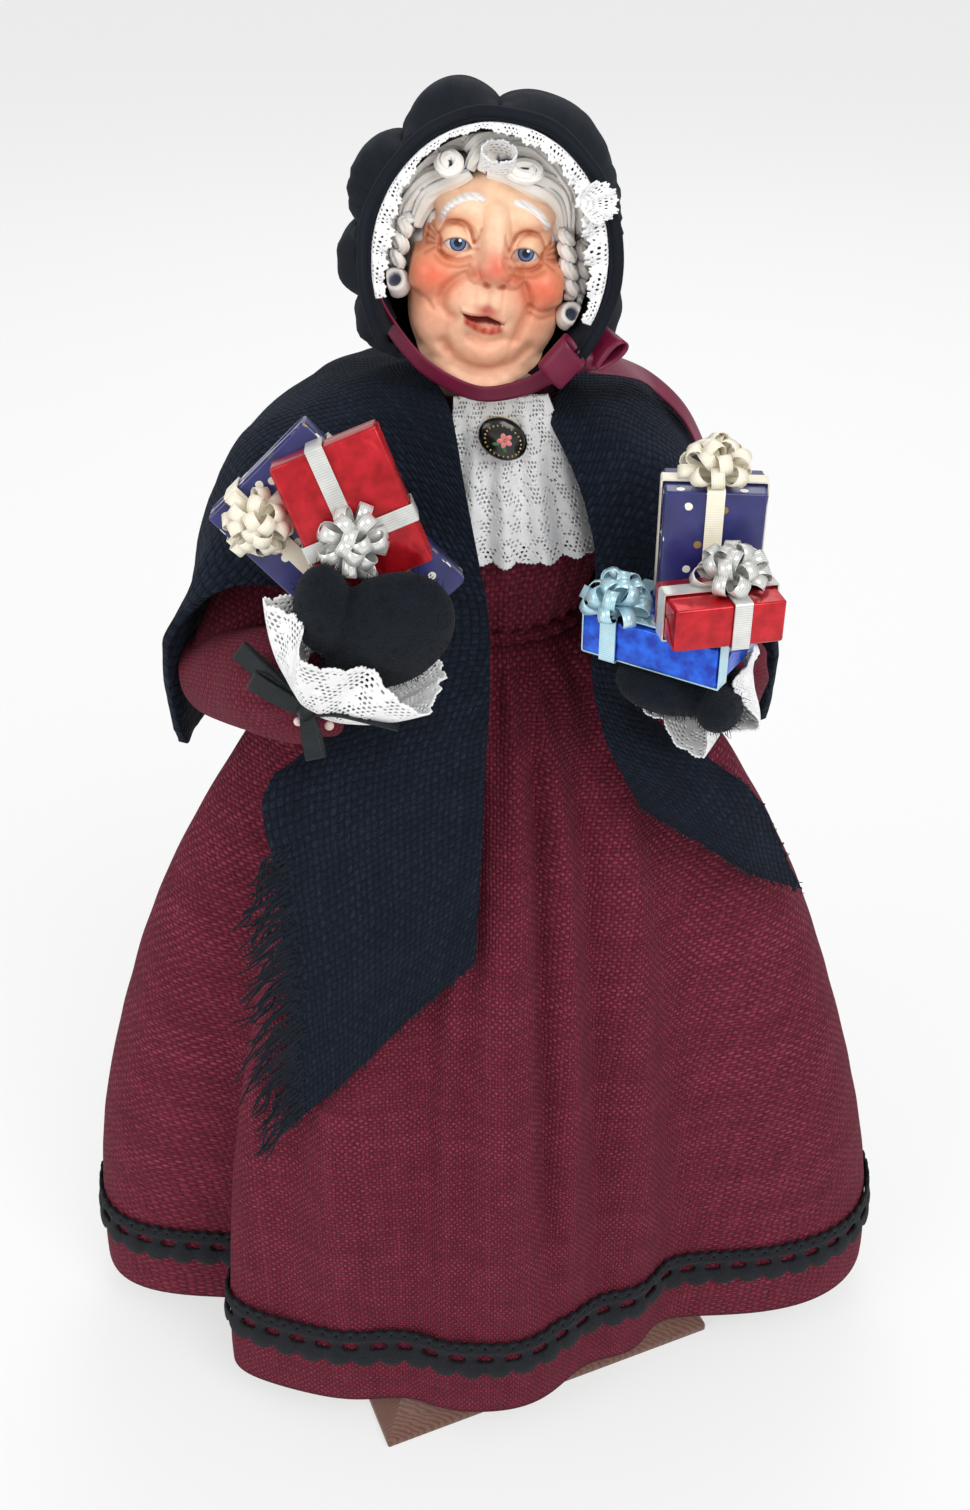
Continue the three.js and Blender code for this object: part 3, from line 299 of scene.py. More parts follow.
makeAll(ribbonFinish,
    wineSatin=dict(rough=0.42, gloss=0.35, ribs=1.2, bump=0.08, dark=(96, 14, 44), light=(126, 28, 64)),
    blackSatin=dict(rough=0.5, gloss=0.3, sheen=0.03, ribs=0.8, bump=0.5,
        across="X", dark=(9, 13, 16), light=(27, 35, 39)),
    creamRibbon=dict(rough=0.32, gloss=0.5, ribs=0.7, bump=0.12,
        dark=(234, 224, 196), light=(250, 246, 232)),
    silverRibbon=dict(rough=0.26, gloss=0.6, metal=0.35, ribs=0.7, bump=0.12,
        dark=(196, 198, 194), light=(238, 238, 234)),
    iceRibbon=dict(rough=0.26, gloss=0.6, metal=0.3, ribs=0.7, bump=0.12,
        dark=(150, 208, 226), light=(214, 236, 242)))


# Navy paper with scattered white and gold dots
def dottedPaper(name, look):
    tree, shader = newFinish(name, {"Coat Weight": 0.35, "Coat Roughness": 0.2}, look)
    flat = clothPlace(tree)
    spots = addNode(tree, "TexVoronoi", {"Vector": flat, "Scale": 1 / look["apart"], "Randomness": 0.85},
        voronoi_dimensions="2D")
    edge = weighed(tree, (spots.outputs["Distance"], 1.0), (mottle(tree, flat, 0.9, 2.0), 0.05))
    dot = maths(tree, "LESS_THAN", edge, look["dot"] / look["apart"] + 0.025)
    pick = addNode(tree, "SeparateColor", {0: spots.outputs["Color"]})
    gold = maths(tree, "GREATER_THAN", pick.outputs[0], 0.68)
    some = maths(tree, "MULTIPLY", dot, maths(tree, "LESS_THAN", pick.outputs[1], 0.8))
    soft = mottle(tree, flat, 0.2)
    ground = lookColour(tree, soft, look, dark=0.3, light=0.7)
    ink = blendColour(tree, gold, paint(*look["white"]), paint(*look["gold"]))
    baseColour(tree, shader, blendColour(tree, some, ground, ink))
    relief(tree, shader, soft, 0.2, 0.3)


dottedPaper("navyPaper", dict(rough=0.34, apart=5.2, dot=0.72, dark=(30, 32, 88),
        light=(46, 48, 116), white=(244, 240, 226), gold=(150, 122, 66)))


# Stained wood with the grain along the base's own side
def stainedWood(name, look):
    tree, shader = newFinish(name, {"Coat Roughness": 0.3}, look)
    turned = addNode(tree, "Mapping", {
            "Vector": inMillimetres(tree), "Rotation": (0.0, 0.0, -rad(look["turn"])),
            "Scale": look["stretch"]})
    rings = addNode(tree, "TexWave", {"Vector": turned, "Scale": 0.5, "Distortion": 6.0, "Detail": 4.0,
            "Detail Scale": 1.4}, wave_type="RINGS", rings_direction="X").outputs["Fac"]
    pores = mottle(tree, turned, 3.0, 6.0)
    tone = weighed(tree, (rings, 0.45), (pores, 0.55))
    baseColour(tree, shader, lookColour(tree, tone, look, dark=0.2, light=0.8))
    relief(tree, shader, pores, 0.25, 0.2)


makeAll(stainedWood, baseWood=dict(rough=0.45, coat=0.2, turn=22.8, stretch=(0.12, 1.0, 1.0),
        dark=(78, 46, 36), light=(124, 80, 62)),
    dowelWood=dict(rough=0.7, coat=0.0, turn=0.0, stretch=(1.0, 1.0, 0.1),
        dark=(178, 146, 102), light=(214, 184, 138)))


# Painted face: colours come from the sculpt's own attribute under a thin varnish
def facePaint(name):
    tree, shader = newFinish(name, {
            "Roughness": 0.42, "Specular IOR Level": 0.4, "Coat Weight": 0.25, "Coat Roughness": 0.3,
            "Subsurface Weight": 0.0})
    painted = addNode(tree, "Attribute", attribute_name="faceColour").outputs["Color"]
    place = inMillimetres(tree)
    blotch = mottle(tree, place, 0.6, 4.0)
    tint = colourStops(tree, blotch, [(0.3, (0.9, 0.87, 0.85, 1)), (0.7, (1.0, 1.0, 1.0, 1))])
    baseColour(tree, shader, blendColour(tree, 1.0, painted, tint, "MULTIPLY"))
    relief(tree, shader, mottle(tree, place, 2.2, 4.0), 0.15, 0.15)


# Rings from the pupil outwards, and a painted highlight: a white dot beside the pupil in place of a lamp's
# reflection
irisSet = dict(dot=(0.42, 0.0, 0.5), highlightSize=0.34, highlightPaint=(236, 240, 246), rings=[
        (0.0, (16, 20, 30)), (0.26, (24, 32, 48)), (0.34, (84, 108, 144)), (0.46, (92, 116, 160)),
        (0.54, (34, 44, 92)), (0.6, (36, 44, 84)), (0.65, (216, 208, 202)), (1.0, (206, 180, 170))])


def eyePaint(name, iris):
    tree, shader = newFinish(name, {
            "Roughness": 0.16, "Specular IOR Level": 0.25, "Coat Weight": 0.15, "Coat Roughness": 0.05})
    place = inMillimetres(tree)
    away = vectors(tree, "DISTANCE", place, tuple(iris)).outputs["Value"]
    streaks = maths(tree, "MULTIPLY", mottle(tree, place, 2.5), 0.1)
    ring = maths(tree, "MULTIPLY", maths(tree, "ADD", away, maths(tree, "SUBTRACT", streaks, 0.05)), 0.4)
    colour = colourStops(tree, ring, [(at, paint(*tint)) for at, tint in irisSet["rings"]])
    # painted highlight: the white dot stands for a lamp's reflection in the eye
    spot = vectors(tree, "DISTANCE", place, tuple(Vector(iris) + Vector(irisSet["dot"]))).outputs["Value"]
    dot = maths(tree, "LESS_THAN", spot, irisSet["highlightSize"])
    baseColour(tree, shader, blendColour(tree, dot, colour, paint(*irisSet["highlightPaint"])))


facePaint("skinPaint")
print("finishes ready")


# Shape helpers
def along(points, share):
    last = len(points) - 1
    step = min(int(share * last), last - 1)
    part = share * last - step
    before, start, end, after = (Vector(points[max(0, min(last, step + k))]) for k in (-1, 0, 1, 2))
    if step == 0:
        before = 2 * start - end
    if step == last - 1:
        after = 2 * end - start
    return 0.5 * (2 * start + (end - before) * part + (2 * before - 5 * start + 4 * end - after) * part ** 2
        + (3 * start - before - 3 * end + after) * part ** 3)


def heading(points, share, step=0.01):
    return (along(points, min(1, share + step)) - along(points, max(0, share - step))).normalized()


# Length from the first point to each point
def runLength(points):
    total = [0.0]
    for start, end in zip(points, points[1:]):
        total.append(total[-1] + (end - start).length)
    return total


def smoothStep(low, high, value):
    share = max(0.0, min(1.0, (value - low) / (high - low)))
    return share * share * (3 - 2 * share)


def wobble(point, size, seed=0.0):
    return noise.noise(Vector(point) / size + Vector((seed, seed * 1.7, seed * 0.6)))


def tilted(degrees, axis):
    return Matrix.Rotation(rad(degrees), 4, axis)


def swollen(place, half):
    return Matrix.Translation(place) @ Matrix.Diagonal((*half, 1))


def freshMesh():
    bm = bmesh.new()
    bm.loops.layers.uv.new("UVMap")
    return bm


def toMesh(bm, name):
    mesh = bpy.data.meshes.new(name)
    bm.to_mesh(mesh)
    bm.free()
    return mesh


def addObject(name, data):
    made = bpy.data.objects.new(name, data)
    bpy.context.scene.collection.objects.link(made)
    return made


# The mesh that a helper object shows, which is then removed
def finalMesh(holder):
    mesh = bpy.data.meshes.new_from_object(holder.evaluated_get(bpy.context.evaluated_depsgraph_get()))
    bpy.data.objects.remove(holder)
    return mesh


def addBall(bm, sides, rows, matrix, radius=1):
    bmesh.ops.create_uvsphere(bm, u_segments=sides, v_segments=rows, radius=radius, matrix=matrix)


def roundEdges(bm, edges, offset, segments):
    bmesh.ops.bevel(bm, geom=edges, offset=offset, affect="EDGES", segments=segments, profile=0.5,
        material=-1)


def levelEdges(bm):
    return [e for e in bm.edges if abs(e.verts[0].co.z - e.verts[1].co.z) < 1e-6]


def raised(bm, faces):
    grown = bmesh.ops.extrude_face_region(bm, geom=faces)["geom"]
    return [v for v in grown if isinstance(v, bmesh.types.BMVert)]


def closeEnds(bm):
    bmesh.ops.holes_fill(bm, edges=[e for e in bm.edges if e.is_boundary], sides=0)
    return bm


def placed(bm, matrix):
    bmesh.ops.transform(bm, matrix=matrix, verts=bm.verts)
    return bm


# The outer side stays where it is and the back is set behind it, along each point's own normal
def thicken(bm, thickness):
    bm.normal_update()
    inwards = [(vert, vert.normal * thickness) for vert in bm.verts]
    bmesh.ops.extrude_face_region(bm, geom=bm.faces[:])
    for vert, step in inwards:
        vert.co -= step


def weld(bm):
    bmesh.ops.remove_doubles(bm, verts=bm.verts, dist=1e-4)


def cutFaces(bm, faces):
    bmesh.ops.delete(bm, geom=faces, context="FACES")


def unitGrid(columns, rows):
    bm = freshMesh()
    bmesh.ops.create_grid(bm, x_segments=columns, y_segments=rows, size=0.5)
    bmesh.ops.translate(bm, verts=bm.verts, vec=(0.5, 0.5, 0))
    return bm


def layCloth(bm, cloth):
    uvMap = bm.loops.layers.uv["UVMap"]
    for face in bm.faces:
        for corner in face.loops:
            corner[uvMap].uv = cloth(corner.vert.co.x, corner.vert.co.y)


def flatCloth(wide, tall):
    return lambda s, t: (wide * s, tall * t)


# A cloth grid: place gives the point and cloth gives its own millimetres, both from two shares
def clothGrid(columns, rows, place, cloth, thickness=0.0, ring=False):
    bm = unitGrid(columns, rows)
    layCloth(bm, cloth)
    for vert in bm.verts:
        vert.co = place(vert.co.x, vert.co.y)
    if ring:
        weld(bm)
    if thickness:
        thicken(bm, thickness)
    return bm


def keepLargest(bm):
    left, best = set(bm.faces), []
    while left:
        island, queue = [], [left.pop()]
        while queue:
            face = queue.pop()
            island.append(face)
            for edge in face.edges:
                for other in edge.link_faces:
                    if other in left:
                        left.remove(other)
                        queue.append(other)
        best = max(best, island, key=len)
    kept = set(best)
    cutFaces(bm, [f for f in bm.faces if f not in kept])


# Openwork: the flat cloth is cut where pattern is negative, its cut edges are eased onto the pattern's
# outline, and the rest is laid over place
def openwork(size, cell, pattern, place, thickness, ring=False):
    bm = unitGrid(round(size[0] / cell), round(size[1] / cell))
    bmesh.ops.scale(bm, verts=bm.verts, vec=(size[0], size[1], 1))
    cutFaces(bm, [f for f in bm.faces if pattern(*f.calc_center_median().xy) < 0])
    for turn in range(4):  # threads that meet only at a corner are parted
        pinched = {}
        for vert in bm.verts:
            if sum(edge.is_boundary for edge in vert.link_edges) > 2:
                face = min(vert.link_faces, key=lambda f: pattern(*f.calc_center_median().xy))
                pinched[face.index] = face
        cutFaces(bm, list(pinched.values()))
        bm.faces.index_update()
    if not ring:
        keepLargest(bm)
    tiny, flattest, furthest = 0.05, 0.05, 0.6 * cell
    for vert in bm.verts:
        x, y = vert.co.xy
        inside = tiny < x < size[0] - tiny and tiny < y < size[1] - tiny
        value = pattern(x, y)
        if not (vert.is_boundary and inside) or abs(value) > cell:
            continue
        slopeX = (pattern(x + tiny, y) - pattern(x - tiny, y)) / (2 * tiny)
        slopeY = (pattern(x, y + tiny) - pattern(x, y - tiny)) / (2 * tiny)
        steep = slopeX ** 2 + slopeY ** 2
        if steep > flattest:
            reach = max(-furthest, min(furthest, value / steep ** 0.5)) / steep ** 0.5
            vert.co.x -= reach * slopeX
            vert.co.y -= reach * slopeY
    layCloth(bm, lambda x, y: (x, y))
    for vert in bm.verts:
        vert.co = place(vert.co.x / size[0], vert.co.y / size[1])
    if ring:
        weld(bm)
        keepLargest(bm)
    thicken(bm, thickness)
    return bm


# Round strands along lists of points, each with a radius at every point
def strandMesh(strands, sides=3):
    curve = bpy.data.curves.new("strands", "CURVE")
    curve.dimensions = "3D"
    curve.bevel_depth = 1.0
    curve.bevel_resolution = max(0, sides - 3)
    curve.use_fill_caps = True
    for points, radii in strands:
        spline = curve.splines.new("POLY")
        spline.points.add(len(points) - 1)
        for spot, place, radius in zip(spline.points, points, radii):
            spot.co = (*place, 1.0)
            spot.radius = radius
    mesh = finalMesh(addObject("strands", curve))
    bpy.data.curves.remove(curve)
    return mesh


def joined(shapes):
    total = freshMesh()
    for shape in shapes:
        part = toMesh(shape, "part")
        total.from_mesh(part)
        bpy.data.meshes.remove(part)
    return toMesh(total, "joined")


def makePiece(shape, name, finish, body, slot, node=None, sharp=None):
    mesh = toMesh(shape, name) if isinstance(shape, bmesh.types.BMesh) else shape
    mesh.name = name
    mesh.transform(Matrix.Scale(mm, 4))
    mesh.shade_smooth()
    if sharp:
        mesh.set_sharp_from_angle(angle=rad(sharp))
    piece = addObject(name, mesh)
    mesh.materials.clear()
    mesh.materials.append(bpy.data.materials[finish])
    if node:
        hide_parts(node)
    if body:
        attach(piece, body)
    return piece


# Camera, lamps and floor
cameraSet = dict(place=(0.0, -0.3192, 0.3863), tilt=57, focus=1600, longSide=1510)  # the last two in pixels
camera = addObject("camera", bpy.data.cameras.new("camera"))
camera.location = cameraSet["place"]
camera.rotation_euler = (rad(cameraSet["tilt"]), 0.0, 0.0)
camera.data.sensor_width = 36.0
camera.data.lens = cameraSet["focus"] / cameraSet["longSide"] * 36.0
camera.data.clip_start = 0.01
bpy.context.scene.camera = camera
bpy.context.scene.view_settings.view_transform = "Standard"

# Each lamp: place, size, power
lampSet = dict(key=((0.55, -0.9, 1.15), 0.9, 9.0), fill=((-0.9, -0.75, 0.7), 0.9, 4.5),
    back=((0.1, 0.9, 1.1), 0.8, 4.0))
lampAim = Vector((0, 0, 0.17))
for lampName, (lampPlace, lampSize, lampPower) in lampSet.items():
    lamp = addObject(lampName, bpy.data.lights.new(lampName, "AREA"))
    lamp.data.shape = "DISK"
    lamp.data.size = lampSize
    lamp.data.energy = lampPower
    lamp.location = lampPlace
    lamp.rotation_euler = (lampAim - Vector(lampPlace)).to_track_quat("-Z", "Y").to_euler()

world = bpy.data.worlds.new("studio")
bpy.context.scene.world = world
world.use_nodes = True
skyLight = world.node_tree.nodes["Background"]
skyLight.inputs["Color"].default_value = (1.0, 1.0, 1.0, 1.0)
skyLight.inputs["Strength"].default_value = 0.62

floorShape = bmesh.new()
bmesh.ops.create_circle(floorShape, cap_ends=True, segments=64, radius=6.0)
floor = addObject("floor", toMesh(floorShape, "floor"))
floorTree, floorShader = newFinish("floorPaint", {"Base Color": (0.9, 0.9, 0.9, 1), "Roughness": 0.9})
rays = addNode(floorTree, "LightPath")
bright = addNode(floorTree, "Emission", {"Color": (1, 1, 1, 1), "Strength": 1.0})
seen = maths(floorTree, "ADD", rays.outputs["Is Camera Ray"], rays.outputs["Is Glossy Ray"])
shareBright = maths(floorTree, "MULTIPLY", seen, 0.6)
mixed = addNode(floorTree, "MixShader", {0: shareBright, 1: floorShader, 2: bright})
feed(floorTree, floorTree.nodes["Material Output"].inputs["Surface"], mixed)
floor.data.materials.append(bpy.data.materials["floorPaint"])
print("camera, lamps and floor ready")


# Base, dowel and armature
baseSet = dict(side=96, height=13, edge=2.5, bevel=8, turn=22.8, round=0.5)


def baseShape():
    bm = freshMesh()
    bmesh.ops.create_cube(bm, size=1)
    placed(bm, swollen((0, 0, baseSet["edge"] / 2), (baseSet["side"], baseSet["side"], baseSet["edge"])))
    bm.normal_update()
    top = [f for f in bm.faces if f.normal.z > 0.5]
    lifted = raised(bm, top)
    cutFaces(bm, top)
    inset = 1 - 2 * baseSet["bevel"] / baseSet["side"]
    rise = baseSet["height"] - baseSet["edge"]
    bmesh.ops.transform(bm, matrix=swollen((0, 0, rise), (inset, inset, 1)), verts=lifted)
    roundEdges(bm, bm.edges[:], baseSet["round"], 2)
    return placed(bm, tilted(baseSet["turn"], "Z"))


makePiece(baseShape(), "baseBlock", "baseWood", "figure", "wood", "base_block", sharp=25)
innerSet = dict(stand_dowel="dowelWood", shoulder_wire="aluminiumWire", right_forearm_wire="aluminiumWire",
    left_forearm_wire="aluminiumWire")
for nodeName, finish in innerSet.items():
    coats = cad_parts[nodeName].data.materials
    coats.clear()
    coats.append(bpy.data.materials[finish])


# Skirt: one folded outline for the skirt, its petticoat and its braid. Angles run from the front to +X
skirtSet = dict(hem=14.2, length=206, hemHalf=(110, 62), waistHalf=(23, 20), bell=1.6, hip=0.72,
    pleats=[(-67, 8, 0.27), (57, 14, 0.28), (32, 16, 0.19), (-20, 9, 0.05), (118, 11, 0.14),
        (152, 10, 0.16), (186, 10, 0.13), (216, 11, 0.16), (248, 10, 0.14)],
    gathers=26, gatherDepth=1.2, cloth=1.3, drift=1.3, slack=0.8, grid=(420, 104),
    # soft folds down the front: angle, width, height
    folds=[(-42, 5, -2.6), (-31, 5, 1.8), (-13, 4, -2.4), (-2, 3, -2.2), (8, 5, 2.4), (19.5, 3, -3.6),
        (27, 4, 2.8), (37, 4.5, -2.8), (49, 5, 2.2), (80, 7, 2.0), (-85, 7, 2.0), (-100, 6, -2.2),
        (98, 6, -2.2)])


def skirtHalf(height):
    rise = max(0.0, min(1.0, height / skirtSet["length"]))
    full = (1 - rise ** skirtSet["bell"]) ** skirtSet["hip"]
    halves = zip(skirtSet["waistHalf"], skirtSet["hemHalf"])
    return rise, *(low + (high - low) * full for low, high in halves)


def skirtRadius(degrees, height):
    rise, wide, deep = skirtHalf(height)
    turn = rad(degrees)
    radius = 1 / hypot(sin(turn) / wide, cos(turn) / deep)
    fold = sum(depth * exp(-((((degrees - at + 180) % 360) - 180) / width) ** 2)
        for at, width, depth in skirtSet["pleats"])
    return radius * (1 - sqrt(1 - rise) * fold)


def skirtPoint(degrees, height, out=0.0):
    radius = skirtRadius(degrees, height) + out
    turn = rad(degrees)
    return Vector((radius * sin(turn), -radius * cos(turn), skirtSet["hem"] + height))


def clothSkirt(degrees, height, out=0.0):
    rise = height / skirtSet["length"]
    turn = rad(degrees)
    swing = cos(skirtSet["gathers"] * turn + 2 * sin(3 * turn))
    ripple = skirtSet["gatherDepth"] * rise ** 4 * (1 - smoothStep(0.96, 1, rise)) * swing
    drift = wobble((70 * sin(turn), 70 * cos(turn), height * 0.5), 26)
    drift = skirtSet["drift"] * drift * (1 - rise) * rise * 3
    slack = skirtSet["slack"] * wobble((90 * sin(turn), 90 * cos(turn), height), 11, 4.0) * rise ** 0.5
    lean = degrees + 3 * sin(4 * rise)
    fold = sum(much * exp(-((lean - at) / width) ** 2) for at, width, much in skirtSet["folds"])
    ripple += fold * smoothStep(0.03, 0.4, rise) * (1 - smoothStep(0.8, 1.0, rise))
    ripple -= 0.7 * smoothStep(0.97, 1.0, rise)
    return skirtPoint(degrees, height, out + ripple + drift + 0.5 * slack)


def skirtGirth(height):
    wide, deep = skirtHalf(height)[1:]
    return pi * (3 * (wide + deep) - sqrt((3 * wide + deep) * (wide + 3 * deep)))


def skirtCloth(across, up):
    height = up * skirtSet["length"]
    return (across - 0.5) * skirtGirth(height), 1.1 * height


skirtShape = clothGrid(*skirtSet["grid"], lambda s, t: clothSkirt(360 * (s - 0.5), t * skirtSet["length"]),
    skirtCloth, skirtSet["cloth"], ring=True)
skirt = makePiece(skirtShape, "woolSkirt", "wineWool", "figure", "wool", "skirt")

petticoatSet = dict(inset=-4.0, rise=5, drop=12, cloth=0.8, ruffles=40, ruffle=1.0)


def petticoatPoint(s, t):
    height = petticoatSet["rise"] + t * (skirtSet["length"] - petticoatSet["drop"] - petticoatSet["rise"])
    ripple = petticoatSet["ruffle"] * cos(petticoatSet["ruffles"] * fullTurn * s) * (1 - t) ** 2
    return skirtPoint(360 * (s - 0.5), height, petticoatSet["inset"] + ripple)


petticoat = makePiece(clothGrid(240, 40, petticoatPoint, skirtCloth, petticoatSet["cloth"], ring=True),
    "muslinPetticoat", "muslinCloth", "figure", "batting", "petticoat")

# Crocheted braid: a band, a row of eyelets and a row of round scallops
braidSet = dict(rise=15, width=13, cell=0.6, pitch=7.0, eyelet=(2.3, 1.55), eyeletAt=7.2,
    scallop=3.6, thick=0.75, off=0.45, rib=0.35, measured=20, pinhole=(11.2, 0.45))
braidLevel = braidSet["measured"]
hemGirth = runLength([skirtPoint(k, braidLevel) for k in range(361)])[-1]
braidLength = round(hemGirth / braidSet["pitch"]) * braidSet["pitch"]
# length round the hem at each tenth of a degree
braidAngles = np.array(runLength([skirtPoint(k / 10, braidLevel) for k in range(3601)]))
braidAngles = braidAngles / braidAngles[-1]


def braidPattern(x, y):
    pitch = braidSet["pitch"]
    dx = (x + pitch / 2) % pitch - pitch / 2
    wide, tall = braidSet["eyelet"]
    eyelet = (hypot(dx / wide, (y - braidSet["eyeletAt"]) / tall) - 1) * tall
    half = (x % pitch) - pitch / 2
    lobe = braidSet["scallop"] - hypot(half, y - braidSet["scallop"]) if y < braidSet["scallop"] else 9
    at, radius = braidSet["pinhole"]
    small = hypot((x + 0.5 * pitch / 2) % (pitch / 2) - pitch / 4, y - at) - radius
    top = braidSet["width"] - 0.5 + 0.4 * cos(4 * pi * x / pitch) - y
    return min(eyelet, lobe, small, top)


def braidPoint(s, t):
    degrees = float(np.interp(s, braidAngles, np.arange(3601) / 10))
    height = braidSet["rise"] + t * braidSet["width"]
    x, y = s * braidLength, t * braidSet["width"]
    half = (x % braidSet["pitch"]) - braidSet["pitch"] / 2
    dome = max(0.0, 1 - hypot(half, y - braidSet["scallop"]) / braidSet["scallop"])
    rib = braidSet["rib"] * (abs(sin(pi * y / 1.5)) if y > 9 else sqrt(dome) * 1.8)
    here, there = clothSkirt(degrees - 0.5, height), clothSkirt(degrees + 0.5, height)
    ahead = (there - here).normalized()
    normal = Vector((ahead.y, -ahead.x, 0))
    return (here + there) / 2 + normal * (braidSet["off"] + braidSet["thick"] + rib)


braid = makePiece(openwork((braidLength, braidSet["width"]), braidSet["cell"], braidPattern, braidPoint,
        braidSet["thick"], ring=True), "skirtBraid", "braidCotton", "figure", "braid", "skirt_braid")
print("base, skirt and braid made")


# Torso and bodice
torsoSet = dict(waist=220.2, rows=[(-10, 16, 13), (0, 19, 16), (19, 23.75, 20), (38, 25, 19),
        (47, 19.5, 15), (53, 9, 9)], lean=-4, shoulder=38)


def torsoPoint(s, t, grow):
    height, wide, deep = along(torsoSet["rows"], t)
    lean = torsoSet["lean"] * max(0.0, min(1.0, height / torsoSet["shoulder"]))
    turn = fullTurn * (s - 0.5)
    return Vector(((wide + grow) * sin(turn), lean - (deep + grow) * cos(turn), torsoSet["waist"] + height))


bodiceSet = dict(grow=1.95, cloth=1.2, low=0.2, high=0.985, gathers=26, gather=0.7)


def bodicePoint(s, t):
    share = bodiceSet["low"] + t * (bodiceSet["high"] - bodiceSet["low"])
    turn = fullTurn * s
    tuck = bodiceSet["gather"] * (1 - t) ** 3 * cos(bodiceSet["gathers"] * turn + 2 * sin(2 * turn))
    slack = 0.5 * wobble((25 * sin(turn), 25 * cos(turn), 50 * t), 9, 2.0)
    return torsoPoint(s, share, bodiceSet["grow"] + tuck + slack)


bodice = makePiece(clothGrid(160, 60, bodicePoint, flatCloth(150, 52), bodiceSet["cloth"], ring=True),
    "woolBodice", "wineWool", "figure", "wool", "bodice")


# The waist seam rolls over where the skirt meets the bodice
waistSet = dict(half=(21.9, 18.9), height=220.7, roll=1.35)


def waistPoint(s, t):
    turn, curl = fullTurn * s, fullTurn * t
    roll = waistSet["roll"] * (1 + 0.22 * cos(31 * turn + 2 * sin(3 * turn)))
    wide, deep = (half + roll * cos(curl) for half in waistSet["half"])
    return Vector((-wide * sin(turn), -deep * cos(turn), waistSet["height"] + roll * sin(curl)))


makePiece(clothGrid(300, 10, waistPoint, flatCloth(130, 8), ring=True),
    "waistSeam", "wineWool", "figure", "wool")


padShape = clothGrid(48, 24, lambda s, t: torsoPoint(s, t, -0.2), flatCloth(130, 60), ring=True)
torsoPad = makePiece(closeEnds(padShape), "torsoPad", "muslinCloth", "figure", "muslin", "torso_core")

# Arms, in millimetres of the doll's frame
shoulderLine = 258.2
armSet = dict(right=dict(side=-1, elbow=(-57, -18, 212.2), wrist=(-29, -61, 232.2), hand=(-16, -68, 254.2),
        thumb=(-1, -0.1, 0.25)),
    left=dict(side=1, elbow=(47, -10, 210.2), wrist=(46, -49, 229.2), hand=(33, -63, 234.2),
        thumb=(0.75, -0.65, -0.1)))
sleeveSet = dict(shoulderHalf=32, upper=9.3, elbow=9.4, puff=11.6, wrist=5.0, gathers=11, gather=0.9)


def shoulderOf(arm):
    return Vector((arm["side"] * sleeveSet["shoulderHalf"], 0, shoulderLine))


def limb(columns, rows, path, profile, folds, cloth):
    def place(s, t):
        ahead = heading(path, t)
        across = ahead.cross(Vector((0, 0, 1))).normalized()
        turn = fullTurn * s
        radius = along([(k, r, 0) for k, r in enumerate(profile)], t).y + folds(s, t)
        return along(path, t) + radius * (sin(turn) * across + cos(turn) * across.cross(ahead))

    return closeEnds(clothGrid(columns, rows, place, flatCloth(cloth, cloth), ring=True))


for armName, arm in armSet.items():
    elbow, wrist = Vector(arm["elbow"]), Vector(arm["wrist"])
    shoulder = shoulderOf(arm)
    upperPath = [shoulder + Vector((-arm["side"] * 6, 0, 2)), shoulder, shoulder.lerp(elbow, 0.5), elbow]
    upperRadii = [7.3, sleeveSet["upper"], sleeveSet["upper"], sleeveSet["elbow"] - 0.6]
    upperFolds = lambda s, t: 0.5 * wobble((9 * sin(6.28 * s), 9 * cos(6.28 * s), 60 * t), 8, 3)
    upper = makePiece(limb(64, 40, upperPath, upperRadii, upperFolds, 60), armName + "UpperSleeve",
        "sleeveWool", "figure", "wool", armName + "_upper_sleeve")
    reach = (wrist - elbow).normalized()
    forePath = [elbow - 0.98 * sleeveSet["elbow"] * reach, elbow - 0.5 * sleeveSet["elbow"] * reach, elbow,
        elbow.lerp(wrist, 0.3), elbow.lerp(wrist, 0.6), elbow.lerp(wrist, 0.85), wrist]
    foreRadii = [1.0, 0.84 * sleeveSet["elbow"], sleeveSet["elbow"], 0.95 * sleeveSet["puff"],
        sleeveSet["puff"], 0.82 * sleeveSet["puff"], sleeveSet["wrist"]]

    def foreFolds(s, t):
        turn = fullTurn * s
        tuck = sleeveSet["gather"] * smoothStep(0.6, 1.0, t) * cos(sleeveSet["gathers"] * turn)
        crease = 0.9 * wobble((8 * sin(turn), 8 * cos(turn), 70 * t), 9, 5.0)
        return (tuck + crease) * smoothStep(0.0, 0.3, t)

    fore = makePiece(limb(80, 72, forePath, foreRadii, foreFolds, 66), armName + "ForearmSleeve",
        "sleeveWool", armName + "_forearm", "wool", armName + "_forearm_sleeve")
print("torso and sleeves made")


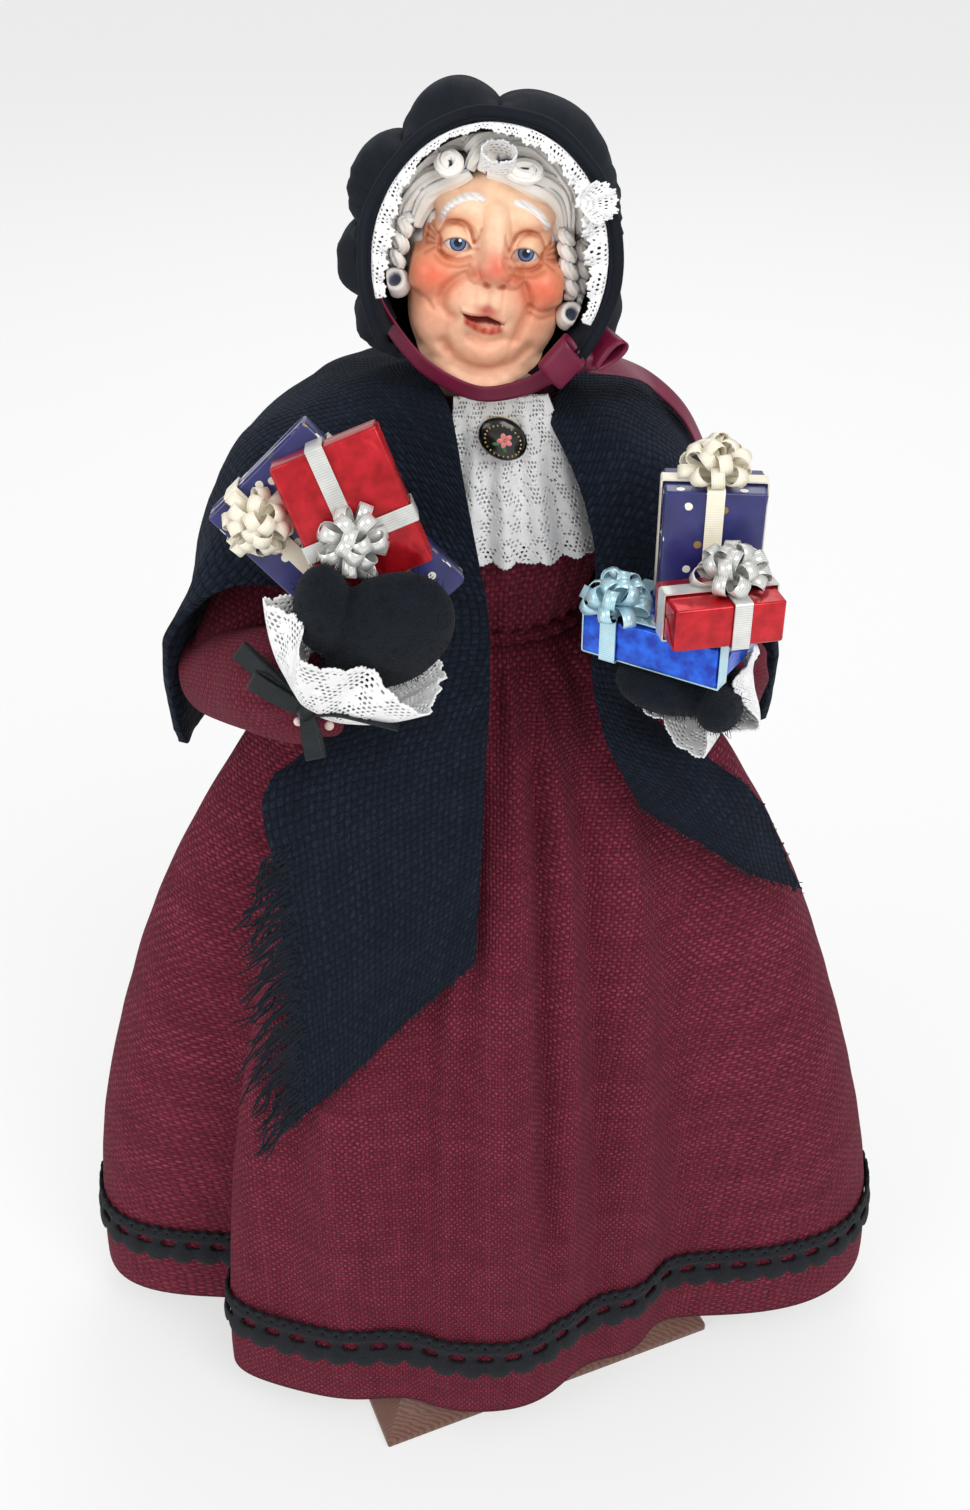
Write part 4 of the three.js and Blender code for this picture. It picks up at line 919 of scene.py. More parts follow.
# Shawl: stations run from the front or neck edge to the outer edge, read from the shoulder line
shawlSet = dict(cloth=1.9, columns=340, rows=70, ripple=0.9, clear=1.25, stations=[
        [(-2, -48, -102), (-17, -50, -117), (-32, -50.5, -135), (-46, -49.5, -151)],
        [(-1, -45, -80), (-15, -47, -90), (-30, -48, -103), (-44, -46.5, -114)],
        [(0, -42, -57), (-15, -43.5, -63), (-30, -43.5, -71), (-45.5, -43, -80)],
        [(0.6, -41, -46), (-14, -42, -51), (-29, -40, -57), (-46.5, -39, -64)],
        [(1, -40, -36), (-13, -40, -39), (-25, -36, -45), (-35.5, -32, -54)],
        [(0.6, -39, -21), (-12, -39, -20), (-23, -33, -20), (-32, -26, -26)],
        [(-2, -37, -6), (-15, -38, -2), (-31, -35, -2), (-47, -34, -16)],
        [(-4.6, -34.5, 8.5), (-20, -33.5, 11.5), (-43, -30, 4), (-66, -26, -33)],
        [(-6.8, -29, 18.5), (-26, -23, 17), (-53, -17.5, -1), (-70, -9, -69)],
        [(-11.8, -15.5, 20.5), (-32, -6, 15), (-55, -2, -8), (-69, 6, -73)],
        [(-13, 2, 18), (-31, 12, 12), (-50, 19, -14), (-56, 26, -68)],
        [(0, 9, 20), (0, 23, 12), (0, 34, -18), (0, 39, -62)],
        [(13, 2, 18), (30, 12, 11), (46, 17, -16), (50, 23, -63)],
        [(15, -14, 18), (32, -6, 12), (49, -4, -12), (60, 2, -64)],
        [(13, -26, 16), (28, -21, 12), (46, -20, -6), (62, -14, -60)],
        [(17, -33, 7), (30, -32, 6), (45, -30, -6), (60, -27, -31)],
        [(21, -36, -6), (28, -36, -7), (35, -34, -10), (45, -32, -18)],
        [(22, -37, -22), (26, -36, -23), (28.5, -33, -24), (31, -28, -26)],
        [(22, -38, -36), (26, -37, -38), (29.5, -34, -42), (33, -29, -48)],
        [(25, -38, -50), (33, -39, -53), (42, -37, -57), (51, -32, -62)],
        [(29, -37, -59), (39, -39, -62), (50, -37, -67), (61, -29, -74)],
        [(34, -35, -69), (47, -36, -78), (60, -32, -90), (73.5, -22, -102)]])
shawlLines = [[Vector(row[k]) + Vector((0, 0, shoulderLine)) for row in shawlSet["stations"]]
    for k in range(4)]


def shawlBase(s, t):
    return along([along(line, s) for line in shawlLines], t)


# Points that a cloth may not enter are moved out to the arm's surface
def offArms(point, gap):
    for arm in armSet.values():
        shoulder = shoulderOf(arm)
        span = Vector(arm["elbow"]) - shoulder
        share = max(0.0, min(1.0, (point - shoulder).dot(span) / span.length_squared))
        nearest = shoulder + share * span
        away = point - nearest
        need = sleeveSet["upper"] + 0.4 + gap
        if away.length < need:
            point = nearest + away.normalized() * need
    return point


def offSkirt(point, gap):
    height = point.z - skirtSet["hem"]
    if not 0 <= height <= skirtSet["length"]:
        return point
    degrees = toDegrees(atan2(point.x, -point.y))
    need = skirtRadius(degrees, height) + gap
    flat = Vector((point.x, point.y, 0))
    if flat.length < need:
        flat = flat.normalized() * need
    return Vector((flat.x, flat.y, point.z))


shawlSteps = runLength([shawlBase(k / 200, 0.5) for k in range(201)])


def shawlPoint(s, t):
    base = shawlBase(s, t)
    ahead = shawlBase(min(1, s + 0.004), t) - shawlBase(max(0, s - 0.004), t)
    over = shawlBase(s, min(1, t + 0.02)) - shawlBase(s, max(0, t - 0.02))
    normal = ahead.cross(over).normalized()
    ripple = shawlSet["ripple"] * wobble(base, 17, 1.0) + 0.35 * wobble(base, 6, 6.0)
    fray = 0.5 * wobble((300 * s, 0, 0), 1.3, 9.0) * smoothStep(0.97, 1.0, t)
    moved = base + normal * (0.9 + ripple) + over.normalized() * fray
    return offSkirt(offArms(moved, shawlSet["clear"] + 0.9), 2.4)


def shawlCloth(s, t):
    width = (shawlBase(s, 1) - shawlBase(s, 0)).length
    return float(np.interp(s, np.arange(201) / 200, shawlSteps)), (t - 0.5) * width


shawl = makePiece(clothGrid(shawlSet["columns"], shawlSet["rows"], shawlPoint, shawlCloth,
        shawlSet["cloth"]), "wovenShawl", "shawlWool", "figure", "shawl", "shawl")

# Frayed ends: long weft threads at the front end, short ones along the cut edges
fringeSet = dict(seed=11, count=120, reach=(11, 20), radius=0.44, end=0.104, roots=(0.9, 0.99), bend=1.9,
    drop=(1, 7), steps=8, shortCount=160, shortReach=(0.8, 2.6), shortRadius=0.24, shortDrop=0.4)
randomFringe = random.Random(fringeSet["seed"])


def strandFrom(root, direction, length, drop, bend):
    points = []
    for k in range(fringeSet["steps"] + 1):
        share = k / fringeSet["steps"]
        spot = root + direction * length * share + Vector((0, 0, -drop * share ** 1.7))
        spot += bend * sin(share * 7.5 + bend.x) * share ** 0.6
        points.append(offSkirt(spot, 0.9))
    return points


def taper(radius, loss):
    return [radius * (1 - loss * j / fringeSet["steps"]) for j in range(fringeSet["steps"] + 1)]


fringeStrands = []
for k in range(fringeSet["count"]):
    s = fringeSet["end"] * (k + randomFringe.random()) / fringeSet["count"]
    t = randomFringe.uniform(*fringeSet["roots"])
    root = shawlPoint(s, t)
    out = (shawlPoint(s, 1.0) - shawlPoint(s, 0.8)).normalized()
    fade = 0.45 + 0.55 * sin(pi * min(1.0, 0.18 + s / 0.12))
    length = randomFringe.uniform(*fringeSet["reach"]) * fade
    sway = [randomFringe.uniform(low, high) for low, high in ((-1, 1), (-0.5, 0.1), (-1, 1))]
    points = strandFrom(root, out, length, randomFringe.uniform(*fringeSet["drop"]),
        fringeSet["bend"] * Vector(sway))
    fringeStrands.append((points, taper(fringeSet["radius"], 0.55)))
for k in range(fringeSet["shortCount"]):
    edge = randomFringe.random()
    if k % 3 < 2:
        s, inner = ((0.0, 0.03), (1.0, 0.97))[k % 3]
        t, back = edge, (inner, edge)
    else:
        s, t = randomFringe.choice((randomFringe.uniform(0.0, 0.3), randomFringe.uniform(0.78, 1.0))), 1.0
        back = (s, 0.9)
    root = shawlPoint(s, t)
    out = (root - shawlPoint(*back)).normalized()
    bend = Vector([randomFringe.uniform(-0.5, 0.5) for j in range(3)])
    length = randomFringe.uniform(*fringeSet["shortReach"])
    points = strandFrom(root - 0.6 * out, out, length, fringeSet["shortDrop"], bend)
    fringeStrands.append((points, taper(fringeSet["shortRadius"], 0.6)))
fringe = makePiece(strandMesh(fringeStrands), "shawlFringe", "fringeWool", "figure", "shawl")
print("shawl and fringe made")


# The way from the nearest points of staggered rows, with each one's row
def staggered(x, y, wide, tall, columns=(0,)):
    near = round(y / tall)
    for row in (near - 1, near, near + 1):
        shift = 0.5 * (row % 2)
        for column in columns:
            yield row, x - (round(x / wide - shift) + shift + column) * wide, y - row * tall


# Lace patterns, positive on thread
def netThread(x, y, pitch, thread):
    nearest = min(hypot(dx, dy) for row, dx, dy in staggered(x, y, pitch, pitch * 0.866))
    return nearest - (pitch - thread) / 2


def hemmed(lace, edge, hem):
    return min(max(lace, hem - edge), edge)


def lacePiece(name, lace, pattern, place, body, node=None, size=None, ring=False, thick=None):
    shape = openwork(size or lace["size"], lace["cell"], pattern, place, thick or lace["thick"], ring)
    return makePiece(shape, name, "laceCotton", body, "lace", node)


def bloom(x, y, place, size, spin=0.0):
    dx, dy = x - place[0], y - place[1]
    return size * (0.72 + 0.28 * cos(5 * atan2(dy, dx) + spin)) - hypot(dx, dy)


jabotSet = dict(size=(38, 38), cell=0.25, net=(1.15, 0.44), scallop=(5.4, 1.5), thick=0.4,
    top=277.8, drop=35.8, chest=23.9, across=31, lean=-4, pitch=(7.6, 6.4), petal=3.0,
    underShort=4, underBack=0.7, underThick=0.2, underShift=3.8,
    middle=(3, 6), halfWide=(9, 8), fold=1.3, folds=4.2, pucker=0.7)


def scallopEdge(x, y, pitch, deep):
    edge = deep * (1 - sqrt(abs(sin(pi * x / pitch)))) + 0.12 * cos(6.28 * x / 0.9)
    return y - edge - 0.15


# Flowers with pierced petals and leaves, in staggered rows on the net
def jabotPattern(x, y):
    lace = netThread(x, y, *jabotSet["net"])
    for row, dx, dy in staggered(x, y, *jabotSet["pitch"], (-1, 0, 1)):
        away, turn = hypot(dx, dy), atan2(dy, dx) + row
        if away > 6.5:
            continue
        petals = jabotSet["petal"] * (0.78 + 0.3 * cos(5 * turn)) - away
        pierced = hypot(away - 1.9, 2.4 * sin(2.5 * turn)) - 0.36
        leaves = 0.75 - hypot((away - 4.3) / 1.9, 2.6 * sin(1.5 * turn + 0.6))
        lace = max(lace, min(petals, pierced), leaves)
    return hemmed(lace, scallopEdge(x, y, *jabotSet["scallop"]), 0.6)


def jabotPoint(s, t):
    drop = 1 - t
    middle, half = (top + more * drop for top, more in (jabotSet["middle"], jabotSet["halfWide"]))
    x = middle + half * (2 * s - 1)
    bow = sqrt(max(0.0, 1 - (x / jabotSet["across"]) ** 2))
    fold = jabotSet["fold"] * cos(fullTurn * (jabotSet["folds"] * s + 0.5 * drop))
    fold = (fold + jabotSet["pucker"] * wobble((40 * s, 40 * t, 0), 6, 3.0)) * (0.25 + 0.75 * drop)
    out = (jabotSet["chest"] + fold) * bow
    return Vector((x, jabotSet["lean"] - out, jabotSet["top"] - jabotSet["drop"] * drop))


jabot = lacePiece("jabotLace", jabotSet, jabotPattern, jabotPoint, "figure", "jabot_lace")


# The lace is doubled: a shorter layer shows through the holes of the outer one
def underPoint(s, t):
    short = jabotSet["underShort"] / jabotSet["size"][1]
    return jabotPoint(s, short + (1 - short) * t) + Vector((0, jabotSet["underBack"], 0))


underSize = (jabotSet["size"][0], jabotSet["size"][1] - jabotSet["underShort"])
jabotUnder = lacePiece("jabotUnderLace", jabotSet, lambda x, y: jabotPattern(x + jabotSet["underShift"], y),
    underPoint, "figure", size=underSize, thick=jabotSet["underThick"])

# Brooch: a black oval in a thin gilt mount, with a ring of gilt beads and a plain small flower
broochSet = dict(place=(3.4, -29.0, 270.6), half=(5.0, 4.0), inset=0.2, rim=1.4, dome=1.8,
    turn=-35, beads=24, beadRing=(3.7, 2.85), bead=(0.26, 0.2), flower=(0.1, 0.5), petals=5,
    petalOut=0.85, petal=(0.75, 0.55), leaf=(0.8, 0.36), leaves=[(-0.9, 0.5), (1.0, -0.5)])
broochFrame = (Matrix.Translation(broochSet["place"]) @ tilted(90, "X") @ tilted(broochSet["turn"], "Z"))


def ovalDome(half, low, dome):
    bm = freshMesh()
    addBall(bm, 48, 24, Matrix.Identity(4))
    bmesh.ops.bisect_plane(bm, geom=bm.verts[:] + bm.edges[:] + bm.faces[:], plane_co=(0, 0, 0),
        plane_no=(0, 0, -1), clear_outer=True)
    return closeEnds(placed(bm, swollen((0, 0, low), (*half, dome))))


def ovalRim(half, height):
    bm = freshMesh()
    bmesh.ops.create_cone(bm, cap_ends=True, segments=64, radius1=1, radius2=1, depth=height)
    placed(bm, swollen((0, 0, height / 2), (*half, 1)))
    roundEdges(bm, levelEdges(bm), 0.4, 3)
    return bm


def ovalHeight(x, y):
    half = broochSet["half"]
    inside = 1 - (x / half[0]) ** 2 - (y / half[1]) ** 2
    return broochSet["rim"] + broochSet["dome"] * sqrt(max(0.0, inside))


def smallBlobs(spots):
    bm = freshMesh()
    for x, y, wide, tall, turn, thick in spots:
        lifted = Matrix.Translation((x, y, ovalHeight(x, y))) @ Matrix.Rotation(turn, 4, "Z")
        addBall(bm, 10, 6, lifted @ Matrix.Diagonal((wide, tall, thick, 1)))
    return bm


mountHalf = [side - broochSet["inset"] for side in broochSet["half"]]
makePiece(placed(ovalRim(mountHalf, broochSet["rim"]), broochFrame), "broochMount", "giltMetal", "figure",
    "gilt", "brooch_mount", sharp=50)
makePiece(placed(ovalDome(broochSet["half"], broochSet["rim"], broochSet["dome"]), broochFrame),
    "broochStone", "broochGloss", "figure", "cameo", "brooch_cabochon", sharp=50)
beadTurns = [k * fullTurn / broochSet["beads"] for k in range(broochSet["beads"])]
petalTurns = [k * 1.2566 for k in range(broochSet["petals"])]
ringX, ringY = broochSet["beadRing"]
flowerX, flowerY = broochSet["flower"]
petalOut = broochSet["petalOut"]
beadSpots = [(ringX * cos(a), ringY * sin(a), *broochSet["bead"], a, 0.14) for a in beadTurns]
beadSpots.append((flowerX, flowerY, 0.36, 0.36, 0, 0.36))
petalSpots = [(flowerX + petalOut * cos(a), flowerY + petalOut * sin(a), *broochSet["petal"], a, 0.2)
    for a in petalTurns]
leafSpots = [(x, -1.0, *broochSet["leaf"], turn, 0.15) for x, turn in broochSet["leaves"]]
blobSet = dict(broochBeads=("giltMetal", "gilt", beadSpots),
    broochPetals=("petalPaint", "cameo", petalSpots), broochLeaves=("leafPaint", "cameo", leafSpots))
for blobName, (finish, slot, spots) in blobSet.items():
    makePiece(placed(smallBlobs(spots), broochFrame), blobName, finish, "figure", slot)
print("jabot and brooch made")


# Gift boxes, each placed in the group that its hand holds
groupSet = dict(right=Matrix.Translation((-27, -51, 258.2)) @ tilted(4, "Z") @ tilted(80, "X"),
    left=Matrix.Translation((34, -58, 244.0)) @ tilted(-32, "Z"))
giftSet = dict(
    rightNavy=dict(size=(41, 25, 6.5), place=(0, 0, 0), spin=-47, bow=(-13.8, -6), seed=1),
    rightRed=dict(size=(20, 26, 6.5), place=(3, 8.5, 8.55), spin=21, bow=(-1.5, -3.5), seed=2),
    leftBlue=dict(size=(27, 17, 8), place=(0, 0, 0), spin=0, bow=(-8, -6), seed=3),
    leftRed=dict(size=(20, 12, 8), place=(12, -5.5, 10.05), spin=44, bow=(2, 1), seed=4),
    leftNavy=dict(size=(18, 11, 22), place=(3.5, 7.5, 17.05), spin=28, bow=(0, 0), seed=5))
colourSet = dict(Navy=(("navyPaper", "navy_paper"), ("creamRibbon", "cream_ribbon")),
    Red=(("redFoil", "red_foil"), ("silverRibbon", "silver_ribbon")),
    Blue=(("blueFoil", "blue_foil"), ("iceRibbon", "ice_ribbon")))
wrapSet = dict(round=0.45, flap=0.18, ribbonWidth=3.2, ribbonThick=0.3, ribbonGap=0.3, bowRadius=7.2,
    bowRibbon=2.4, bowOpen=2.5, bowThick=0.16, bowRoll=58,
    bowLayers=[(8, 8, 1.0), (7, 38, 0.96), (4, 68, 0.86)])


def boxUv(bm):
    uvMap = bm.loops.layers.uv["UVMap"]
    bm.normal_update()
    for face in bm.faces:
        axis = max(range(3), key=lambda k: abs(face.normal[k]))
        for corner in face.loops:
            rest = [corner.vert.co[k] for k in range(3) if k != axis]
            corner[uvMap].uv = (rest[0] + 17.0 * axis, rest[1] + 31.0 * axis)


def boxShape(size):
    bm = freshMesh()
    bmesh.ops.create_cube(bm, size=1)
    bmesh.ops.scale(bm, verts=bm.verts, vec=size)
    roundEdges(bm, bm.edges[:], wrapSet["round"], 3)
    wide, deep, tall = (side / 2 for side in size)
    for side in (-1, 1):  # folded paper flaps on the two ends
        for up in (-1, 1):
            x = side * (wide + 0.02)
            corners = [(x, -deep + 0.6, up * (tall - 0.5)), (x, deep - 0.6, up * (tall - 0.5)),
                (x, 0.25 * deep * up, -0.15 * tall * up)]
            flap = bm.faces.new([bm.verts.new(c) for c in corners])
            flap.normal_update()
            if flap.normal.x * side < 0:
                flap.normal_flip()
            bmesh.ops.translate(bm, verts=raised(bm, [flap]), vec=(side * wrapSet["flap"], 0, 0))
            bmesh.ops.reverse_faces(bm, faces=[flap])
    boxUv(bm)
    return bm


def bandShape(size, bowAt):
    bm = freshMesh()
    width = wrapSet["ribbonWidth"]
    lift = 2 * (wrapSet["ribbonGap"] + wrapSet["ribbonThick"])
    for axis in (0, 1):
        loop = bmesh.ops.create_cube(bm, size=1)["verts"]
        reach = [size[0] + lift, size[1] + lift, size[2] + lift + 0.1 * axis]
        reach[axis] = width
        shift = [0, 0, 0]
        shift[axis] = bowAt[axis]
        bmesh.ops.transform(bm, matrix=swollen(shift, reach), verts=loop)
        sides = {f for v in loop for f in v.link_faces}
        for face in sides:
            face.normal_update()
        ends = [f for f in sides if abs(f.normal[axis]) > 0.5]
        folds = [e for f in sides for e in f.edges
            if abs((e.verts[0].co - e.verts[1].co)[axis]) > 0.5 * width]
        bmesh.ops.delete(bm, geom=ends, context="FACES_ONLY")
        roundEdges(bm, list(set(folds)), 0.4, 2)
    boxUv(bm)
    thicken(bm, wrapSet["ribbonThick"])
    return bm


def ribbonLoop(bm, matrix, length, height, width):
    uvMap = bm.loops.layers.uv["UVMap"]
    made = bmesh.ops.create_grid(bm, x_segments=16, y_segments=2, size=0.5)["verts"]
    for face in {f for v in made for f in v.link_faces}:
        for corner in face.loops:
            corner[uvMap].uv = (corner.vert.co.x * 2.6 * length, corner.vert.co.y * width)
    for vert in made:
        share, side = vert.co.x + 0.5, vert.co.y
        turn = fullTurn * share
        out = length * (1 - cos(turn)) / 2
        lift = height * sin(turn) * (0.35 + 0.65 * sin(turn / 2) ** 2)
        flare = width * (0.6 + 0.4 * sin(turn / 2))
        vert.co = matrix @ Vector((out, side * flare, lift))


def giftBow(seed):
    bm = freshMesh()
    dice = random.Random(seed)
    for count, tilt, reach in wrapSet["bowLayers"]:
        for k in range(count):
            spin = 360 * k / count + 17 * tilt + dice.uniform(-8, 8)
            lean = -tilt + dice.uniform(-7, 7)
            roll = wrapSet["bowRoll"] * dice.uniform(-1, 1)
            lift = Matrix.Translation((0, 0, 0.4 + 1.4 * sin(rad(tilt))))
            turn = lift @ tilted(spin, "Z") @ tilted(lean, "Y") @ tilted(roll, "X")
            length = wrapSet["bowRadius"] * reach * dice.uniform(0.85, 1.05)
            ribbonLoop(bm, turn, length, wrapSet["bowOpen"], wrapSet["bowRibbon"])
    thicken(bm, wrapSet["bowThick"])
    for vert in bm.verts:
        vert.co.z = max(vert.co.z, 0.0)
    return bm


giftBoxes = []
for giftName, gift in giftSet.items():
    hand = "right" if giftName.startswith("right") else "left"
    body = hand + "_forearm"
    colour = giftName[len(hand):]
    node = hand + "_" + colour.lower()
    wrap, ribbon = colourSet[colour]
    giftFrame = groupSet[hand] @ Matrix.Translation(gift["place"]) @ tilted(gift["spin"], "Z")
    bowLift = gift["size"][2] / 2 + wrapSet["ribbonGap"] + 0.5
    bow = placed(giftBow(gift["seed"]), Matrix.Translation((*gift["bow"], bowLift)))
    parts = dict(Box=(boxShape(gift["size"]), wrap, 35),
        Ribbon=(bandShape(gift["size"], gift["bow"]), ribbon, 50), Bow=(bow, ribbon, None))
    for part, (shape, (finish, slot), sharp) in parts.items():
        makePiece(placed(shape, giftFrame), giftName + part, finish, body, slot,
            node + "_" + part.lower(), sharp)
    giftBoxes.append((giftFrame.inverted(), giftFrame, [side / 2 for side in gift["size"]]))
print("gifts made")


def offBoxes(point, gap):
    for into, back, half in giftBoxes:
        local = into @ point
        depth = [half[k] + gap - abs(local[k]) for k in range(3)]
        if min(depth) > 0:
            axis = depth.index(min(depth))
            local[axis] = copysign(half[axis] + gap, local[axis])
            point = back @ local
    return point


# Mittens and lace cuffs, in each hand's own axes: +Z to the fingertips, +X to the thumb
def handFrame(arm):
    wrist = Vector(arm["wrist"])
    ahead = (Vector(arm["hand"]) - wrist).normalized()
    thumb = Vector(arm["thumb"])
    across = (thumb - ahead * thumb.dot(ahead)).normalized()
    return Matrix.Translation(wrist) @ Matrix((across, ahead.cross(across), ahead)).transposed().to_4x4()


mittenSet = dict(right=dict(palm=(11.2, 5.2, 15.0), palmAt=(-1.8, 0, 20.4), thumb=(5.4, 4.6, 10.4),
        thumbAt=(10.8, 0, 20.0)),
    left=dict(palm=(9.8, 4.8, 13.0), palmAt=(-1.5, 0, 14.5), thumb=(4.4, 4.0, 8.6), thumbAt=(9.3, 0, 13.85)),
    wristAt=(0, 0, 4.0), wrist=(5.0, 4.4, 8.0), give=0.35, thumbTurn=26, voxel=0.5, fuzz=900, fuzzSeed=5,
    fuzzReach=(0.5, 1.5), fuzzRadii=[0.07, 0.06, 0.03])
cuffSet = dict(size=(112, 17), cell=0.3, net=(1.25, 0.44), thick=0.35, wrist=5.4, scallop=(4.0, 1.1),
    motifs=[(28 / 3, 0.0, 8.6, 3.7), (28 / 3, 0.5, 13.2, 2.6), (28 / 3, 0.5, 4.2, 2.4)],
    right=dict(wide=(13.0, 3.6), lift=16.4, lean=2.6, waves=5, wave=2.2),
    left=dict(wide=(8.2, 6.4), lift=12.4, lean=0.0, waves=5, wave=2.6))


def mittenShape(frameMatrix, sizes):
    bm = freshMesh()
    thumb = (Matrix.Translation(sizes["thumbAt"]) @ tilted(mittenSet["thumbTurn"], "Y")
        @ Matrix.Diagonal((*sizes["thumb"], 1)))
    for matrix in (swollen(sizes["palmAt"], sizes["palm"]), thumb):
        addBall(bm, 40, 24, matrix)
    addBall(bm, 32, 16, swollen(mittenSet["wristAt"], mittenSet["wrist"]))
    holder = addObject("mittenForm", toMesh(bm, "mittenForm"))
    fused = holder.modifiers.new("fused", "REMESH")
    fused.mode = "VOXEL"
    fused.voxel_size = mittenSet["voxel"]
    eased = holder.modifiers.new("eased", "SMOOTH")
    eased.factor = 0.5
    eased.iterations = 8
    felt = finalMesh(holder)
    felt.transform(frameMatrix)
    for vert in felt.vertices:  # the felt gives way where a box rests on it
        vert.co = offBoxes(vert.co, mittenSet["give"])
    return felt


def cuffPattern(x, y):
    lace = netThread(x, y, *cuffSet["net"])
    for wide, shift, height, size in cuffSet["motifs"]:
        lace = max(lace, bloom(x, y, ((round(x / wide - shift) + shift) * wide, height), size, 0.8))
    edge = scallopEdge(x, cuffSet["size"][1] - y, *cuffSet["scallop"])
    return hemmed(max(lace, 0.9 - y), edge, 0.75)


def cuffPoint(frameMatrix, flare, s, t):
    turn = fullTurn * s
    phase = flare["waves"] * turn + 0.9 * sin(turn) + 0.6
    wave = flare["wave"] * t * cos(phase) + 0.5 * t * cos(13 * turn + 1.0)
    wide, deep = (cuffSet["wrist"] + grow * sqrt(t) + wave for grow in flare["wide"])
    lift = -1 + flare["lift"] * t + flare["lean"] * t * cos(turn) - 1.4 * t * cos(phase)
    return offBoxes(frameMatrix @ Vector((wide * cos(turn), deep * sin(turn), lift)), 1.5)


for armName, arm in armSet.items():
    frameMatrix = handFrame(arm)
    body = armName + "_forearm"
    mitten = makePiece(mittenShape(frameMatrix, mittenSet[armName]), armName + "Mitten", "mittenFelt", body,
        "mitten", armName + "_mitten")
    dice = random.Random(mittenSet["fuzzSeed"])
    fuzz = []
    for k in range(mittenSet["fuzz"]):  # short loose fibres standing off the felt
        face = mitten.data.polygons[dice.randrange(len(mitten.data.polygons))]
        root = face.center / mm
        lean = (face.normal + 0.9 * Vector([dice.uniform(-1, 1) for j in range(3)])).normalized()
        reach = dice.uniform(*mittenSet["fuzzReach"])
        fuzz.append(([root - 0.2 * lean, root + 0.6 * reach * lean,
                root + reach * (lean + 0.3 * Vector([dice.uniform(-1, 1) for j in range(3)]))],
                mittenSet["fuzzRadii"]))
    makePiece(strandMesh(fuzz), armName + "MittenFuzz", "fringeWool", body, "mitten")
    lacePiece(armName + "CuffLace", cuffSet, cuffPattern,
        lambda s, t: cuffPoint(frameMatrix, cuffSet[armName], s, t), body, armName + "_cuff_lace", ring=True)


# A strip along a path: its face looks the way that facings give
def ribbonStrip(points, width, facings, columns=48, thickness=0.35):
    length = runLength([along(points, k / 40) for k in range(41)])[-1]

    def place(s, t):
        ahead = heading(points, s)
        side = along(facings, s).cross(ahead).normalized()
        return along(points, s) + side * (t - 0.5) * width

    return clothGrid(columns, 6, place, flatCloth(length, width), thickness)


# A loop from its knot: where it points, the way its width lies, its length and how far it opens
def ribbonLoopStrip(ahead, side, length, tall, width, columns=48, thickness=0.35, shift=(0, 0, 0),
        pinch=0.5):
    ahead, side = Vector(ahead).normalized(), Vector(side).normalized()
    over = side.cross(ahead).normalized()

    def place(s, t):
        turn = fullTurn * s
        out = length * (1 - cos(turn)) / 2
        lift = tall * sin(turn) * (0.3 + 0.7 * sin(turn / 2) ** 2)
        across = (t - 0.5) * width * (pinch + (1 - pinch) * sin(turn / 2) ** 0.7)
        return Vector(shift) + ahead * out + over * lift + side * across

    return clothGrid(columns, 6, place, flatCloth(2.3 * length, width), thickness)


def knotBall(place, half):
    ball = freshMesh()
    addBall(ball, 24, 14, swollen(place, half))
    for vert in ball.verts:
        vert.co += 0.18 * (vert.co - Vector(place)).normalized() * sin(2.2 * (vert.co.x + vert.co.z))
    return ball


# Black ribbon bow at the right wrist, with two small pearls: right, up and towards the viewer from its knot
cuffBowSet = dict(knot=(-33.0, -66.2, 231.6), width=3.8, tilt=33,
    loops=[((-0.72, 0.64, -0.28), (0.6, 0.75, 0.25), 18.5, 1.1),
        ((-0.84, 0.5, -0.1), (0.45, 0.8, 0.4), 12.0, 1.3), ((0.2, -0.97, 0.1), (0.97, 0.2, 0.12), 8.8, 1.3)],
    tail=[(0, 0, 0.2), (5.5, -0.2, 1.6), (11.5, -1.6, 1.2), (17.0, -2.8, 0.2)],
    tailWidth=2.2, tailFacing=[(0, 0.3, 0.95), (0, 0.8, 0.6), (0, 0.85, 0.5), (0, 0.7, 0.7)], thick=0.3,
    ball=(1.9, 1.8, 1.4), pearls=[(4.0, -2.6, -1.6), (-1.8, -1.8, -1.8)], pearl=0.9)
cuffBowFrame = Matrix.Translation(cuffBowSet["knot"]) @ tilted(90 - cuffBowSet["tilt"], "X")
bowShapes = [ribbonLoopStrip(*loop, cuffBowSet["width"], 36, cuffBowSet["thick"])
    for loop in cuffBowSet["loops"]]
bowShapes.append(ribbonStrip(cuffBowSet["tail"], cuffBowSet["tailWidth"], cuffBowSet["tailFacing"], 30,
        cuffBowSet["thick"]))
cuffBowMesh = joined(bowShapes + [knotBall((0, 0, 0.4), cuffBowSet["ball"])])
cuffBowMesh.transform(cuffBowFrame)
makePiece(cuffBowMesh, "rightCuffBow", "blackSatin", "right_forearm", "black_ribbon", "right_cuff_bow")
pearls = freshMesh()
for spot in cuffBowSet["pearls"]:
    addBall(pearls, 20, 12, Matrix.Translation(spot), cuffBowSet["pearl"])
makePiece(placed(pearls, cuffBowFrame), "rightCuffPearls", "pearlGloss", "right_forearm", "cream_ribbon")
print("hands made")


